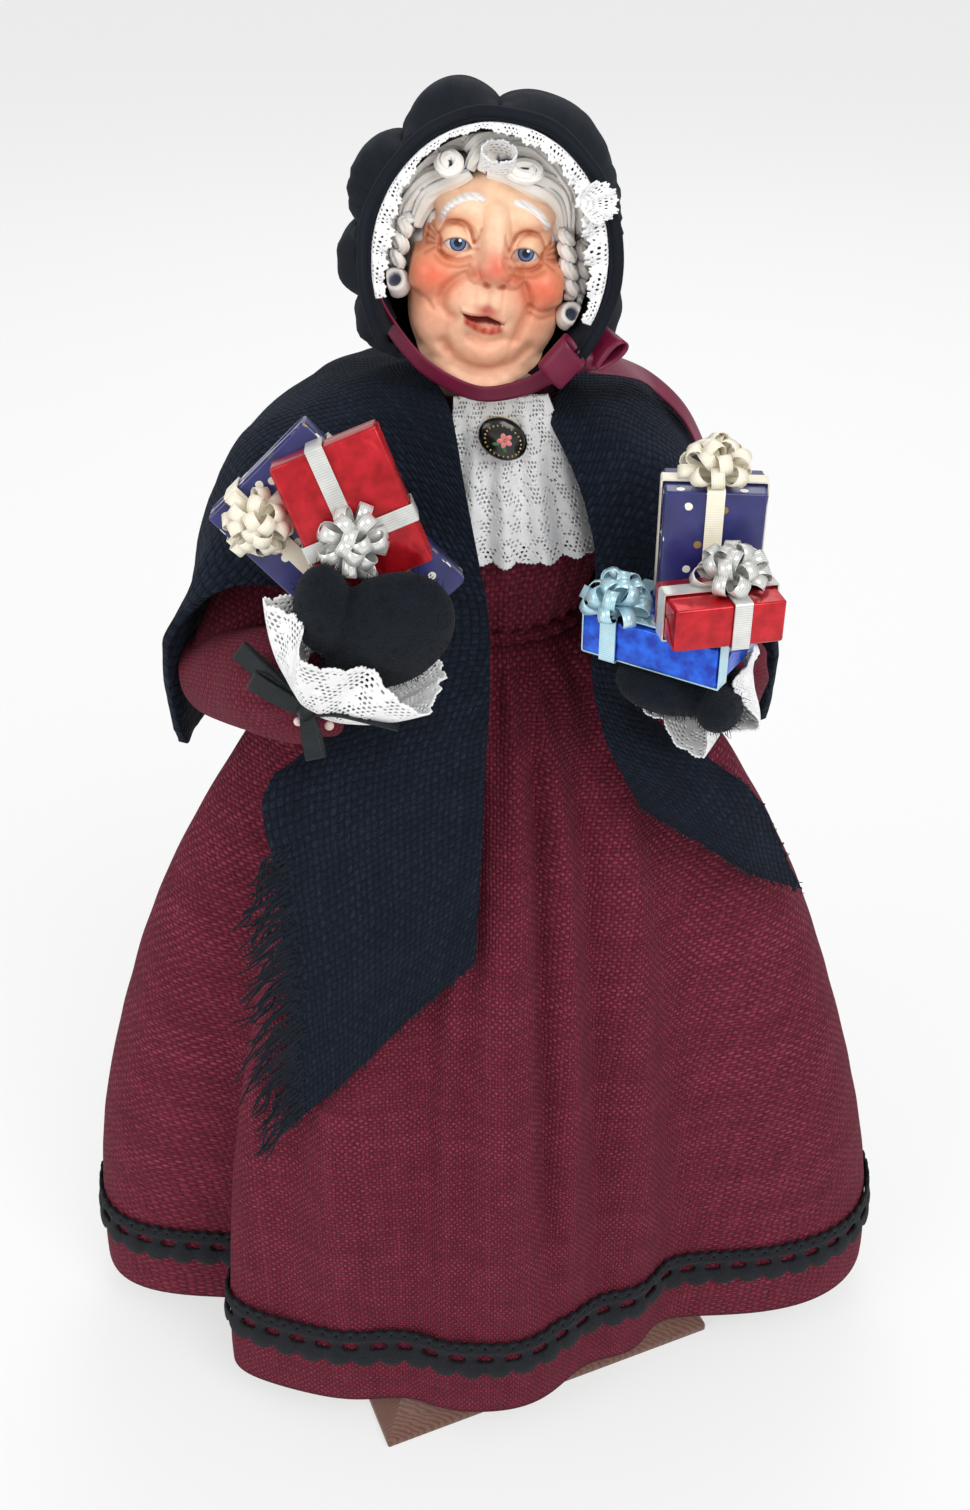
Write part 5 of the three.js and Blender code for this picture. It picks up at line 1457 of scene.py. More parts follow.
# Head, in its own millimetres: the face looks along -Y
headFrame = Matrix.Translation((0.5, -19, 301.2)) @ tilted(-6, "X") @ tilted(7, "Y")
headSet = dict(half=(14.2, 17.0, 20.0), gather=1.5,
    # soft masses: centre, half sizes, ease
    masses=[((-9.3, -9.3, -1.3), (5.4, 6.1, 5.0), 1.6), ((9.6, -9.1, -1.5), (5.2, 6.1, 5.0), 1.6),
        ((0.5, -11.6, -4.6), (6.2, 6.0, 5.2), 1.5), ((1.1, -9.8, -13.0), (4.9, 5.2, 4.2), 1.6),
        ((-8.8, -7.2, -9.0), (4.6, 5.0, 5.6), 2.0), ((9.2, -7.0, -8.6), (4.6, 5.0, 5.4), 2.0),
        ((-5.8, -9.4, 10.4), (5.0, 5.2, 2.8), 1.8), ((6.0, -9.2, 10.2), (5.0, 5.2, 2.8), 1.8),
        ((1.4, -17.4, 2.0), (3.3, 3.4, 2.95), 1.2), ((-1.8, -15.5, 0.2), (2.1, 2.6, 1.8), 0.8),
        ((4.5, -15.3, 0.0), (2.1, 2.6, 1.8), 0.8)],
    # grooves: points, width, depth, how much wash and painted shade they hold
    grooves=[([(-2.9, 0.6), (-5.2, -1.0), (-7.3, -3.4), (-7.6, -6.0), (-6.0, -7.8)], 1.0, 1.2, 0.5),
        ([(5.4, 0.4), (7.0, -1.8), (8.0, -5.0), (7.0, -8.0), (6.2, -11.0)], 1.0, 1.2, 0.5),
        ([(-4.9, -8.0), (-6.2, -11.0), (-5.4, -14.6)], 0.8, 0.5, 0.2),
        ([(8.2, -4.6), (10.6, -5.5), (13.2, -4.6)], 0.45, 0.5, 0.4),
        ([(8.4, -6.2), (10.6, -7.0), (12.8, -6.4)], 0.45, 0.45, 0.35),
        ([(-13.2, -4.4), (-11.0, -5.4), (-9.2, -7.2)], 0.5, 0.4, 0.3),
        ([(-6.6, -13.4), (-3.4, -16.4), (1.4, -17.4), (6.2, -15.8), (9.2, -12.6)], 1.2, 1.1, 0.3),
        ([(-2.0, -11.1), (1.2, -11.9), (4.0, -11.1)], 1.0, 0.8, 0.3),
        ([(-12.0, 9.4), (-11.4, 6.4), (-11.8, 4.0)], 0.3, 0.3, 0.4),
        ([(-10.9, 9.6), (-10.4, 6.6)], 0.3, 0.3, 0.4),
        ([(10.9, 8.6), (10.6, 6.0)], 0.3, 0.3, 0.4), ([(-1.6, -2.2), (-1.5, -5.4)], 0.4, 0.14, 0.12),
        ([(0.9, -2.2), (0.9, -5.0)], 0.5, 0.25, 0.16), ([(3.2, -2.2), (3.1, -5.6)], 0.4, 0.14, 0.12)],
    brows=[[(-9.2, 8.4), (-8.6, 10.2), (-7.3, 11.5), (-5.8, 12.4), (-4.1, 12.8), (-2.6, 12.6)],
        [(3.6, 12.6), (4.9, 12.5), (6.4, 12.0), (7.9, 11.1), (9.0, 10.0), (9.7, 8.9)]],
    upperLip=[(-4.1, -6.9), (-2.2, -7.0), (-0.8, -6.9), (0.7, -6.6), (2.2, -7.2), (4.1, -8.1)],
    gape=1.5, lowerLip=[(-2.5, -8.3), (-1.3, -9.0), (0.2, -9.5), (1.7, -9.6), (3.0, -9.2)])
eyeSet = dict(radius=2.95, lid=3.32, half=2.6, right=(-6.0, -11.4, 4.75), left=(6.2, -11.4, 4.4))


# How far each point sits in a hollow: the share of short rays from it that meet the mesh again
def hollows(mesh, reach, count=14):
    tree = BVHTree.FromPolygons([v.co for v in mesh.vertices], [p.vertices for p in mesh.polygons])
    rays = []
    for k in range(count):
        out, turn = sqrt((k + 0.5) / count), 2.4 * k
        rays.append(Vector((out * cos(turn), out * sin(turn), sqrt(1 - out * out))))
    shares = []
    for vert in mesh.vertices:
        turned = vert.normal.to_track_quat("Z", "X")
        start = vert.co + 0.04 * vert.normal
        shares.append(sum(tree.ray_cast(start, turned @ ray, reach)[0] is not None for ray in rays) / count)
    return np.array(shares)


eyeSides = dict(right=-1, left=1)


def peak(away, width):
    return np.exp(-(away / width) ** 2)


def share01(values):
    return np.clip(values, 0, 1)


def headMesh():
    bm = freshMesh()
    bmesh.ops.create_icosphere(bm, subdivisions=7, radius=1)
    mesh = toMesh(bm, "head")
    spots = np.empty(len(mesh.vertices) * 3)
    mesh.vertices.foreach_get("co", spots)
    unit = spots.reshape(-1, 3)
    # the points crowd towards the face
    tilt = np.pi * (np.arccos(np.clip(-unit[:, 1], -1, 1)) / np.pi) ** headSet["gather"]
    side = unit[:, [0, 2]] / np.maximum(1e-9, np.hypot(unit[:, 0], unit[:, 2]))[:, None]
    body = np.stack([side[:, 0] * np.sin(tilt), -np.cos(tilt), side[:, 1] * np.sin(tilt)], 1)
    body = body * headSet["half"]

    def swell(centre, reach, push):
        return np.exp(-(((body - centre) / reach) ** 2).sum(1))[:, None] * push

    for sign in (-1, 1):  # full jaw
        body = body + swell((sign * 9.5, -8, -9), (6, 9, 7), (sign * 2.0, -0.6, -0.6))
        body = body + swell((sign * 8, -6, -15), (6, 8, 5), (sign * 1.1, -0.8, -1.2))
    body = body + swell((1, -8, -19), (8, 7, 5), (0.3, -2.4, -2.0))
    x, depth, z = body[:, 0].copy(), body[:, 1].copy(), body[:, 2].copy()
    front = share01((-depth - 1.0) / 4.0)
    start = depth.copy()
    washAndShade = np.zeros(len(x))

    def near(cx, cz, rx, rz):
        return np.exp(-((x - cx) / rx) ** 2 - ((z - cz) / rz) ** 2)

    def nearLine(points, width):
        line = [along([(px, pz, 0) for px, pz in points], k / 14) for k in range(15)]
        nearest = np.full(len(x), 99.0)
        for begin, end in zip(line, line[1:]):
            dx, dz = end.x - begin.x, end.y - begin.y
            share = share01(((x - begin.x) * dx + (z - begin.y) * dz) / (dx * dx + dz * dz))
            nearest = np.minimum(nearest, np.hypot(x - begin.x - share * dx, z - begin.y - share * dz))
        return peak(nearest, width)

    # a rounded mass that stands out of the face and eases into what is round it
    def mass(centre, half, ease):
        away = ((x - centre[0]) / half[0]) ** 2 + ((z - centre[2]) / half[2]) ** 2
        ball = np.where(away < 1, centre[1] - half[1] * np.sqrt(np.maximum(1 - away, 0)),
            centre[1] + 3 * (np.sqrt(away) - 1) * half[1])
        mix = share01(0.5 + 0.5 * (depth - ball) / ease)
        depth[:] = depth * (1 - mix) + ball * mix - ease * mix * (1 - mix)

    for settings in headSet["masses"][:8]:
        mass(*settings)
    for k in range(8):  # bridge of the nose
        share = k / 7
        wide = 2.4 + 0.5 * share
        mass((0.3 + 1.0 * share, -15.6 - 3.6 * share ** 1.3 + wide, 10.0 - 7.0 * share), [wide] * 3, 2.0)
    for settings in headSet["masses"][8:]:
        mass(*settings)
    for k in range(9):  # roll under the chin
        share = k / 8
        mass((-8.5 + 18 * share, -6.8 - 2.4 * sin(pi * share), -15.8 - 5.4 * sin(pi * share)),
            (3.0, 3.0, 2.6), 1.0)
    for points, width, deep, held in headSet["grooves"]:
        line = nearLine(points, width)
        depth += deep * line
        washAndShade += held * line
    depth += 0.8 * near(0.1, -1.2, 0.7, 0.45) + 0.8 * near(2.8, -1.3, 0.7, 0.45)  # nostrils
    # eyes: lids wrap each eyeball and part in an almond
    rims, openings = np.zeros(len(x)), np.zeros(len(x))
    for name, sign in eyeSides.items():
        ex, ey, ez = eyeSet[name]
        out, up = sign * (x - ex), z - ez
        away = np.hypot(out, up)
        lid = ey - np.sqrt(np.maximum(eyeSet["lid"] ** 2 - np.minimum(away, 3.25) ** 2, 0))
        lid = np.minimum(lid, depth + 1.5)
        hold = share01((4.6 - np.hypot(out, 1.05 * up)) / 1.5)
        hold = hold * hold * (3 - 2 * hold)
        depth[:] = depth * (1 - hold) + lid * hold
        arch = np.maximum(1 - (out / eyeSet["half"]) ** 2, 0)
        upper, lower = -0.6 + 1.5 * arch ** 0.75, -0.6 - 0.85 * arch ** 0.8
        inside = share01(np.minimum(upper - up, up - lower) / 0.22) * (arch > 0) * (away < 3)
        depth += 1.1 * inside
        openings = np.maximum(openings, inside)
        rims += (peak(up - upper, 0.24) + 0.4 * peak(up - lower, 0.2)) * (arch > 0) * (away < 3)
        lines = [([(-2.9, 0.6), (-1.9, 2.8), (0.0, 3.7), (2.2, 3.0), (3.5, 1.0)], 0.34, 0.55, 0.8),
            ([(-2.6, -2.0), (-0.6, -2.9), (1.6, -2.8), (3.2, -1.8)], 0.34, 0.42, 0.6),
            ([(-2.4, -3.2), (-0.4, -3.9), (2.0, -3.7), (3.8, -2.6)], 0.36, 0.42, 0.5),
            ([(-3.0, 0.4), (-3.7, 1.6), (-3.9, 3.0)], 0.24, 0.3, 0.55),
            ([(-2.9, -0.6), (-3.8, -0.4)], 0.24, 0.3, 0.5)]
        for rise in (2.2, 1.1, 0.1, -0.9, -1.9):  # lines that fan from the outer corner
            lines.append(([(2.9, -0.5 + 0.3 * rise), (4.2, -0.3 + 0.75 * rise), (5.6, -0.2 + 1.25 * rise)],
                    0.26, 0.42, 0.75))
        for points, width, deep, held in lines:
            line = nearLine([(ex + sign * px, ez + pz) for px, pz in points], width) * (1 - openings)
            depth += deep * line
            washAndShade += held * line
    # mouth: a narrow opening under the upper lip, and a bumpy lower lip
    lipX, lipZ = zip(*headSet["upperLip"])
    lipLine = np.interp(x, lipX, lipZ)
    spread = share01((x - lipX[0]) / (lipX[-1] - lipX[0]))
    gap = headSet["gape"] * np.sin(np.pi * spread) ** 0.8
    mouth = share01(np.minimum(lipLine - z, z - lipLine + gap) / 0.25) * (np.abs(z + 7.6) < 2.5)
    depth -= 0.55 * peak(z - lipLine - 0.5, 0.6) * (spread > 0) * (spread < 1) * front
    lips = nearLine(headSet["lowerLip"], 0.95)
    depth -= 0.85 * lips * (1 + 0.2 * np.sin(5.5 * x))
    depth += 1.6 * mouth
    brows = np.zeros(len(x))
    for line in headSet["brows"]:
        brows += nearLine(line, 0.6)
    depth -= 1.05 * brows * (1 + 0.16 * np.sin(3 * x + 6 * z + np.pi))
    body[:, 1] = start + (depth - start) * front
    mesh.vertices.foreach_set("co", body.ravel())
    mesh.update()
    # how far each point sits in a hollow, later painted darker as wash and painted shade
    dentWashAndShade = share01((hollows(mesh, 2.2) - 0.22) / 0.55)

    # paint: blush and tints, the grooves' wash with painted shade, then the dents' darker wash with painted
    # shade
    coat = np.tile(paint(250, 206, 172)[:3], (len(x), 1))

    def lay(share, red, green, blue):
        nonlocal coat
        share = share01(share * front)[:, None]
        coat = coat * (1 - share) + np.array(paint(red, green, blue)[:3]) * share

    lay(0.6 * near(-12, 3, 4, 9) + 0.6 * near(12, 2, 4, 9), 236, 160, 120)
    lay(0.6 * near(-9.5, -8.5, 5, 5.5) + 0.6 * near(9.8, -8, 5, 5.5) + 0.6 * near(1, -15, 8, 4.5),
        240, 160, 126)
    lay(near(-9.9, -1.2, 5.2, 4.2) + near(10.1, -1.4, 5.2, 4.2), 234, 116, 82)
    lay(0.95 * near(1.4, 2.3, 3.0, 2.8) + 0.6 * near(-1.8, 0.2, 1.7, 1.5) + 0.6 * near(4.5, 0, 1.7, 1.5),
        226, 104, 80)
    for name, sign in eyeSides.items():
        ex, ey, ez = eyeSet[name]
        # painted shade: orange-brown in the lid crease under the brow
        lay(0.55 * near(ex - sign * 1.2, ez + 3.8, 2.8, 1.2), 226, 142, 92)
        lay(0.5 * near(ex, ez - 2.6, 3.2, 1.2), 238, 166, 122)
        lay(0.6 * near(ex, ez + 2.0, 2.4, 0.9), 253, 206, 164)
    # painted shade: the grooves darken with the wrinkle wash and with the shade that falls in them
    lay(0.95 * share01(washAndShade), 192, 98, 58)
    # painted shade in the dents, together with the doll's own wash
    lay(0.7 * dentWashAndShade, 184, 94, 58)
    lay(peak(z - lipLine - 1.1, 1.1) * near(0.7, -5.6, 2.1, 3.0), 176, 50, 38)
    lay(0.4 * peak(z - lipLine - 0.3, 0.4) * (spread > 0) * (spread < 1), 200, 96, 70)
    lay(share01(lips * 1.7 - 0.4) * (0.88 + 0.12 * np.sin(4 * x)), 204, 66, 46)
    lay(0.6 * peak(z - lipLine + gap + 0.2, 0.4) * (gap > 0.5), 170, 36, 26)
    lay(mouth, 122, 20, 15)
    lay(share01(rims) * 0.75, 96, 58, 52)
    lay(share01(2.6 * brows - 0.6), 246, 245, 243)
    # painted shade: grey in the brows' low grooves between the strands
    lay(share01(2.6 * brows - 0.6) * share01(np.sin(3 * x + 6 * z) - 0.5) * 0.8, 140, 134, 148)
    layer = mesh.attributes.new("faceColour", "FLOAT_COLOR", "POINT")
    layer.data.foreach_set("color", np.hstack([coat, np.ones((len(x), 1))]).ravel())
    mesh.transform(headFrame)
    return mesh


makePiece(headMesh(), "headCasting", "skinPaint", "head", "skin", "head_casting")

neckSet = dict(radius=6.0, low=261.6, high=290.0, forward=-7, round=0.8)
neck = freshMesh()
bmesh.ops.create_cone(neck, cap_ends=True, segments=40, radius1=neckSet["radius"],
    radius2=neckSet["radius"], depth=neckSet["high"] - neckSet["low"],
    matrix=Matrix.Translation((0, neckSet["forward"], (neckSet["low"] + neckSet["high"]) / 2)))
roundEdges(neck, levelEdges(neck), neckSet["round"], 3)
makePiece(neck, "neckPeg", "neckSkin", "head", "skin", sharp=40)

for eyeName in eyeSides:
    centre = Vector(eyeSet[eyeName])
    iris = headFrame @ (centre + Vector((0.1, -eyeSet["radius"], 0.05)))
    eye = freshMesh()
    addBall(eye, 40, 24, headFrame @ Matrix.Translation(centre), eyeSet["radius"])
    eyePaint(eyeName + "EyePaint", iris)
    makePiece(eye, eyeName + "Eye", eyeName + "EyePaint", "head", "skin")
print("face made")

# Hair: a cap, broad combed clumps, two rolled curls and ringlets that end in hollow rolls
hairSet = dict(
    underBrim=((18.8, 21.1), 2.5, -16.2),  # half width and height, middle, front
    centre=(0, 4.0, 2.5), half=(16.6, 17.4, 20.2), sides=36, steps=36, ridge=0.09,
    # clumps: path across the front, half width, half depth, ridges, wave
    clumps=[
        ([(-5.1, 16.3), (-7.5, 14.5), (-9.8, 12.7), (-11.9, 11.3), (-12.9, 8.7), (-13.4, 5.6)],
        1.5, 2.4, 9, 0.25),
        ([(-6.2, 17.6), (-8.8, 15.3), (-11.8, 13.5), (-13.9, 11.2), (-14.9, 8.4), (-15.0, 4.7)],
        1.7, 2.8, 9, 0.4),
        ([(-10.6, 18.8), (-13.3, 16.0), (-15.4, 13.7), (-16.5, 10.8), (-16.6, 6.4)], 1.9, 2.8, 10, 0.5),
        ([(-9.0, 21.4), (-13.0, 19.6), (-16.2, 16.2), (-18.0, 12.0), (-18.2, 5.6)], 2.2, 3.0, 10, 0.5),
        ([(-4.6, 20.4), (-7.4, 21.4), (-10.6, 20.8), (-13.2, 18.6), (-14.6, 16.4)], 1.6, 2.6, 9, 0.3),
        ([(-5.0, 16.5), (-4.6, 18.2), (-3.4, 20.0), (-1.6, 21.6)], 1.3, 2.4, 8, 0.25),
        ([(-2.8, 16.5), (-2.4, 18.0), (-1.2, 19.9), (1.2, 21.8)], 1.4, 2.6, 8, 0.25),
        ([(-2.2, 16.2), (0.6, 15.9), (4.1, 15.3), (7.5, 14.2), (9.9, 12.6), (11.5, 9.8), (12.4, 6.6)],
        1.3, 2.4, 9, 0.25),
        ([(-0.6, 17.6), (2.0, 16.6), (5.2, 16.5), (8.2, 15.6), (10.9, 13.9), (12.6, 11.0), (13.6, 7.4)],
        1.6, 2.8, 9, 0.3),
        ([(-0.4, 19.2), (1.6, 20.4), (4.5, 20.3), (7.1, 18.5), (9.6, 16.8), (12.3, 14.4), (13.8, 10.6)],
        1.7, 2.8, 10, 0.4),
        ([(0.4, 21.6), (3.6, 22.2), (7.4, 21.0), (10.4, 18.9), (12.8, 16.4), (14.8, 12.8), (15.6, 8.0)],
        2.0, 2.8, 10, 0.4),
        ([(7.0, 21.8), (11.6, 19.6), (15.0, 15.8), (17.0, 11.0), (17.4, 5.0)], 2.2, 3.0, 10, 0.5),
        ([(-8.0, 22.4), (-4.0, 23.2), (0.5, 23.3), (5.0, 23.0), (8.5, 22.0)], 1.8, 3.6, 9, 0.4),
        ([(-6.0, 19.2), (-4.6, 21.0), (-1.6, 22.2), (1.6, 22.4)], 1.6, 2.6, 9, 0.3)],
    # rolled curls: place, size across and up, tube, turns, start
    curls=[((-8.9, -12.2, 17.6), (2.1, 2.1), 1.0, 1.35, 2.4),
        ((4.3, -12.4, 17.9), (3.1, 1.7), 0.95, 1.6, 3.3)],
    ringlets=[[(-15.4, -9.4, 7.4), (-16.1, -9.6, 3.6), (-16.4, -9.4, -1.2)],
        [(12.9, -9.6, 9.0), (13.6, -9.8, 5.6), (14.7, -9.8, 1.2), (15.9, -9.4, -3.2)],
        [(-17.4, -7.6, 7.0), (-17.8, -7.6, 2.0), (-17.6, -7.2, -3.6)],
        [(16.4, -7.6, 7.0), (17.2, -7.4, 1.0), (17.6, -7.0, -4.6)]], ringlet=(1.25, 0.55, 2.8),
    rolls=[((-16.2, -8.6, -4.4), (-0.2, -0.88, 0.42)), ((16.0, -8.4, -6.6), (0.12, -0.88, 0.42))])


# The clump's section keeps its ridges along the path, which give the combed look
def clump(bm, path, wide, tall, ridges, wave, twist=1.0, blunt=0.3):
    centre = Vector(hairSet["centre"])
    sides, steps = hairSet["sides"], hairSet["steps"]
    rings = []
    for j in range(steps + 1):
        share = j / steps
        ahead = heading(path, share, 0.02)
        middle = along(path, share)
        across = ahead.cross(middle - centre).normalized()
        out = across.cross(ahead)
        middle = middle + across * wave * sin(10 * share + 3 * wide)
        full = blunt + (1 - blunt) * sin(pi * (0.04 + 0.92 * share)) ** 0.6
        ring = []
        for k in range(sides):
            turn = fullTurn * k / sides
            grow = full * (1 + hairSet["ridge"] * cos(ridges * turn + 6 * twist * share))
            ring.append(bm.verts.new(middle + grow * (wide * cos(turn) * across + tall * sin(turn) * out)))
        rings.append(ring)
    for first, second in zip(rings, rings[1:]):
        for k in range(sides):
            bm.faces.new((first[k], first[(k + 1) % sides], second[(k + 1) % sides], second[k]))
    bm.faces.new(rings[0])
    bm.faces.new(rings[-1])


def curlPath(place, size, turns, start):
    facing = Vector((0, -0.87, 0.5))
    over = Vector((0, 0.5, 0.87))
    points = []
    for k in range(21):
        share = k / 20
        turn = start + fullTurn * turns * share
        reach = 1.0 - 0.62 * share
        swing = size[0] * cos(turn) * Vector((1, 0, 0)) + size[1] * sin(turn) * over
        points.append(Vector(place) + reach * swing + facing * (0.7 * share))
    return points


def ringletPath(path):
    out, pitch = hairSet["ringlet"][1:]
    points = []
    length = runLength([Vector(spot) for spot in path])[-1]
    for k in range(41):
        turn = fullTurn * length / pitch * k / 40
        points.append(along(path, k / 40) + out * Vector((cos(turn), sin(turn), 0)))
    return points


def hollowRoll(place, facing):
    bm = freshMesh()
    profile = [(0, 0, -1.4), (0.9, 0, -1.2), (1.2, 0, 2.0), (1.7, 0, 2.6), (2.2, 0, 2.1), (2.4, 0, -1.6),
        (1.6, 0, -3.0), (0, 0, -3.4)]
    corners = [bm.verts.new(p) for p in profile]
    for first, second in zip(corners, corners[1:]):
        bm.edges.new((first, second))
    bmesh.ops.spin(bm, geom=bm.verts[:] + bm.edges[:], cent=(0, 0, 0), axis=(0, 0, 1), angle=fullTurn,
        steps=28, use_merge=True)
    weld(bm)
    bmesh.ops.recalc_face_normals(bm, faces=bm.faces)
    bmesh.ops.subdivide_edges(bm, edges=bm.edges[:], cuts=1, use_grid_fill=True, smooth=0.6)
    turn = Vector(facing).to_track_quat("Z", "Y").to_matrix().to_4x4()
    return placed(bm, Matrix.Translation(place) @ turn)


def hairMesh():
    cap = freshMesh()
    bmesh.ops.create_icosphere(cap, subdivisions=6, radius=1)
    for vert in cap.verts:
        turn = atan2(vert.co.x, vert.co.z)
        wave = 0.35 * sin(18 * turn + 5 * vert.co.y + 1.5 * sin(6 * vert.co.y))
        vert.co = [c + (half + wave) * v for c, half, v in zip(hairSet["centre"], hairSet["half"], vert.co)]
    combed = freshMesh()
    for points, wide, tall, ridges, wave in hairSet["clumps"]:
        path = [(x, -10.2 + 0.013 * x * x + 0.3 * max(0, z - 17), z) for x, z in points]
        clump(combed, path, wide, tall, ridges, wave)
    for place, size, tube, turns, start in hairSet["curls"]:
        clump(combed, curlPath(place, size, turns, start), tube, tube, 7, 0, 2.0, 0.5)
    for path in hairSet["ringlets"]:
        clump(combed, ringletPath(path), hairSet["ringlet"][0], hairSet["ringlet"][0], 6, 0, 2.0, 0.7)
    bmesh.ops.recalc_face_normals(combed, faces=combed.faces)
    whole = joined([cap, combed] + [hollowRoll(*roll) for roll in hairSet["rolls"]])
    room, middle, front = hairSet["underBrim"]
    for vert in whole.vertices:  # pressed flat where the brim lies over it
        x, y, z = vert.co
        over = hypot(x / room[0], (z - middle) / room[1])
        if y > front and over > 1:
            vert.co = (x / over, y, middle + (z - middle) / over)
    # how deep in a hollow each point sits, which the hair paint turns into blue-grey wash and painted shade
    depth = np.clip((hollows(whole, 2.6) - 0.3) / 0.6, 0, 1)
    layer = whole.attributes.new("hollow", "FLOAT", "POINT")
    layer.data.foreach_set("value", depth)
    whole.transform(headFrame)
    return whole


makePiece(hairMesh(), "modelledHair", "hairPaint", "head", "hair", "hair")
print("hair made")


# Bonnet: a puffed crown gathered behind a stiff bound brim
bonnetSet = dict(middle=(0, 8, 1.5), half=(26.2, 24.0, 27.8), front=-7.2, floor=-16.4, cloth=1.0,
    creases=[-180, -150, -113, -86, -46, -3, 85, 150, 180], lobe=6.2, gathers=44, gather=0.45,
    brimPlane=-6, brimDepth=10.4, brimSweep=128, brimHalf=(21.2, 23.5), brimFlare=1.5,
    brimThick=1.6, binding=0.95, bindingSteps=90, brimMiddle=2.5, seam=0.3, seamIn=0.865,
    stitches=120, stitchAt=0.74, stitch=0.2)


def crownLobe(degrees):
    for low, high in zip(bonnetSet["creases"], bonnetSet["creases"][1:]):
        if low <= degrees <= high:
            share = (degrees - low) / (high - low)
            wide = min(1.0, (high - low) / 42)
            return bonnetSet["lobe"] * wide * (sin(pi * share) ** 0.5 - 0.7)
    return 0.0


# t runs from the gathered seam at the brim, over the puff, to the back of the head
def crownPoint(s, t):
    degrees = 360 * (s - 0.5)
    turn = rad(degrees)
    middle, half, front = (bonnetSet[key] for key in ("middle", "half", "front"))
    seam, tight = bonnetSet["seam"], bonnetSet["seamIn"]
    if t < seam:
        share = t / seam
        y = front + (middle[1] - front) * share
        out = tight + (1 - tight) * sin(pi / 2 * min(1, share * 1.6)) ** 0.8
    else:
        lean = (t - seam) / (1 - seam) * pi / 2
        y = middle[1] + half[1] * sin(lean)
        out = cos(lean)
    puff = crownLobe(degrees) * max(0.0, 1 - max(0, t - seam) / 0.55) * smoothStep(0, 0.12, t)
    puff -= 3.0 * exp(-((degrees - 74) / 36) ** 2) * smoothStep(0, 0.12, t)  # flatter on the left side
    puff += 0.6 * wobble((26 * sin(turn), y, 26 * cos(turn)), 7, 2.0)
    tuck = cos(bonnetSet["gathers"] * turn + 3 * sin(5 * turn))
    puff += bonnetSet["gather"] * tuck * max(0.0, 1 - t / seam)
    x = middle[0] + (half[0] + puff) * out * sin(turn)
    z = middle[2] + (half[2] + puff) * out * cos(turn)
    floor = bonnetSet["floor"] + 1.0 * cos(9 * turn)
    if z < floor:
        z = floor + 0.12 * (z - floor)
    return headFrame @ Vector((x, y, z))


crown = makePiece(clothGrid(240, 64, lambda s, t: crownPoint(1 - s, t), flatCloth(170, 60),
        bonnetSet["cloth"], ring=True), "bonnetCrown", "bonnetCloth", "head", "bonnet", "bonnet_crown")


def onBrim(turn, y, out):
    wide, tall = bonnetSet["brimHalf"]
    up = bonnetSet["brimMiddle"] + (tall + out) * cos(turn)
    return headFrame @ Vector(((wide + out) * sin(turn), y, up))


def brimPoint(s, t):
    turn = rad(bonnetSet["brimSweep"] * (2 * s - 1))
    wave = 0.4 * wobble((24 * sin(turn), 4 * t, 24 * cos(turn)), 8, 3.0)
    y = bonnetSet["brimPlane"] - bonnetSet["brimDepth"] * t
    return onBrim(turn, y, bonnetSet["brimFlare"] * t + wave)


brim = makePiece(clothGrid(150, 16, lambda s, t: brimPoint(1 - s, t), flatCloth(100, 11),
        bonnetSet["brimThick"]), "bonnetBrim", "bonnetCloth", "head", "bonnet", "bonnet_brim")
edgeSteps = bonnetSet["bindingSteps"]
edgeLine = [brimPoint(k / edgeSteps, 1.0) for k in range(edgeSteps + 1)]
makePiece(strandMesh([(edgeLine, [bonnetSet["binding"]] * len(edgeLine))], 6), "bonnetBinding",
    "bonnetCloth", "head", "bonnet")
stitches = []
for k in range(bonnetSet["stitches"]):
    ends = [brimPoint((k + share) / bonnetSet["stitches"], bonnetSet["stitchAt"]) for share in (0.15, 0.75)]
    stitches.append((ends, [bonnetSet["stitch"]] * 2))
makePiece(strandMesh(stitches), "bonnetStitching", "braidCotton", "head", "bonnet")

# Lace frill: sewn inside the brim, its edge turns in across the mouth, with a loop on top and a left ruffle
frillSet = dict(size=(104, 5.0), cell=0.24, net=(0.95, 0.42), thick=0.3, waves=15, sweep=112, hem=0.45,
    scallop=(2.4, 0.7),
    reach=[(-112, 2.0), (-85, 3.6), (-62, 2.6), (-40, 1.3), (-10, 1.1), (6, 2.2), (40, 3.0), (50, 3.6),
        (66, 4.2), (84, 4.2), (100, 2.6), (112, 2.0)])


def frillPattern(x, y):
    lace = max(netThread(x, y, *frillSet["net"]), 0.8 - y, bloom(x, y, (round(x / 6) * 6, 3.0), 1.5))
    return hemmed(lace, scallopEdge(x, frillSet["size"][1] - y, *frillSet["scallop"]), 0.6)


def frillPoint(s, t):
    degrees = frillSet["sweep"] * (2 * s - 1)
    phase = fullTurn * frillSet["waves"] * s + 1.6 * sin(9 * s)
    free = max(0.0, (t - frillSet["hem"]) / (1 - frillSet["hem"]))
    sewn = min(1.0, t / frillSet["hem"])
    reach = float(np.interp(degrees, *zip(*frillSet["reach"])))
    turn = rad(degrees + 0.5 * reach * free * sin(phase))
    depth = bonnetSet["brimPlane"] - 6.0 - 4.4 * sewn - free * (0.6 + 0.3 * reach * cos(phase))
    inset = 0.25 + reach * free * (1 + 0.12 * sin(phase + 0.7))
    return onBrim(turn, depth, -inset)


frill = lacePiece("bonnetLace", frillSet, frillPattern, lambda s, t: frillPoint(1 - s, t), "head",
    "bonnet_lace")
loopSet = dict(size=(18, 4), place=(-0.6, -14.4, 20.0), radius=(3.2, 2.3), tip=52)


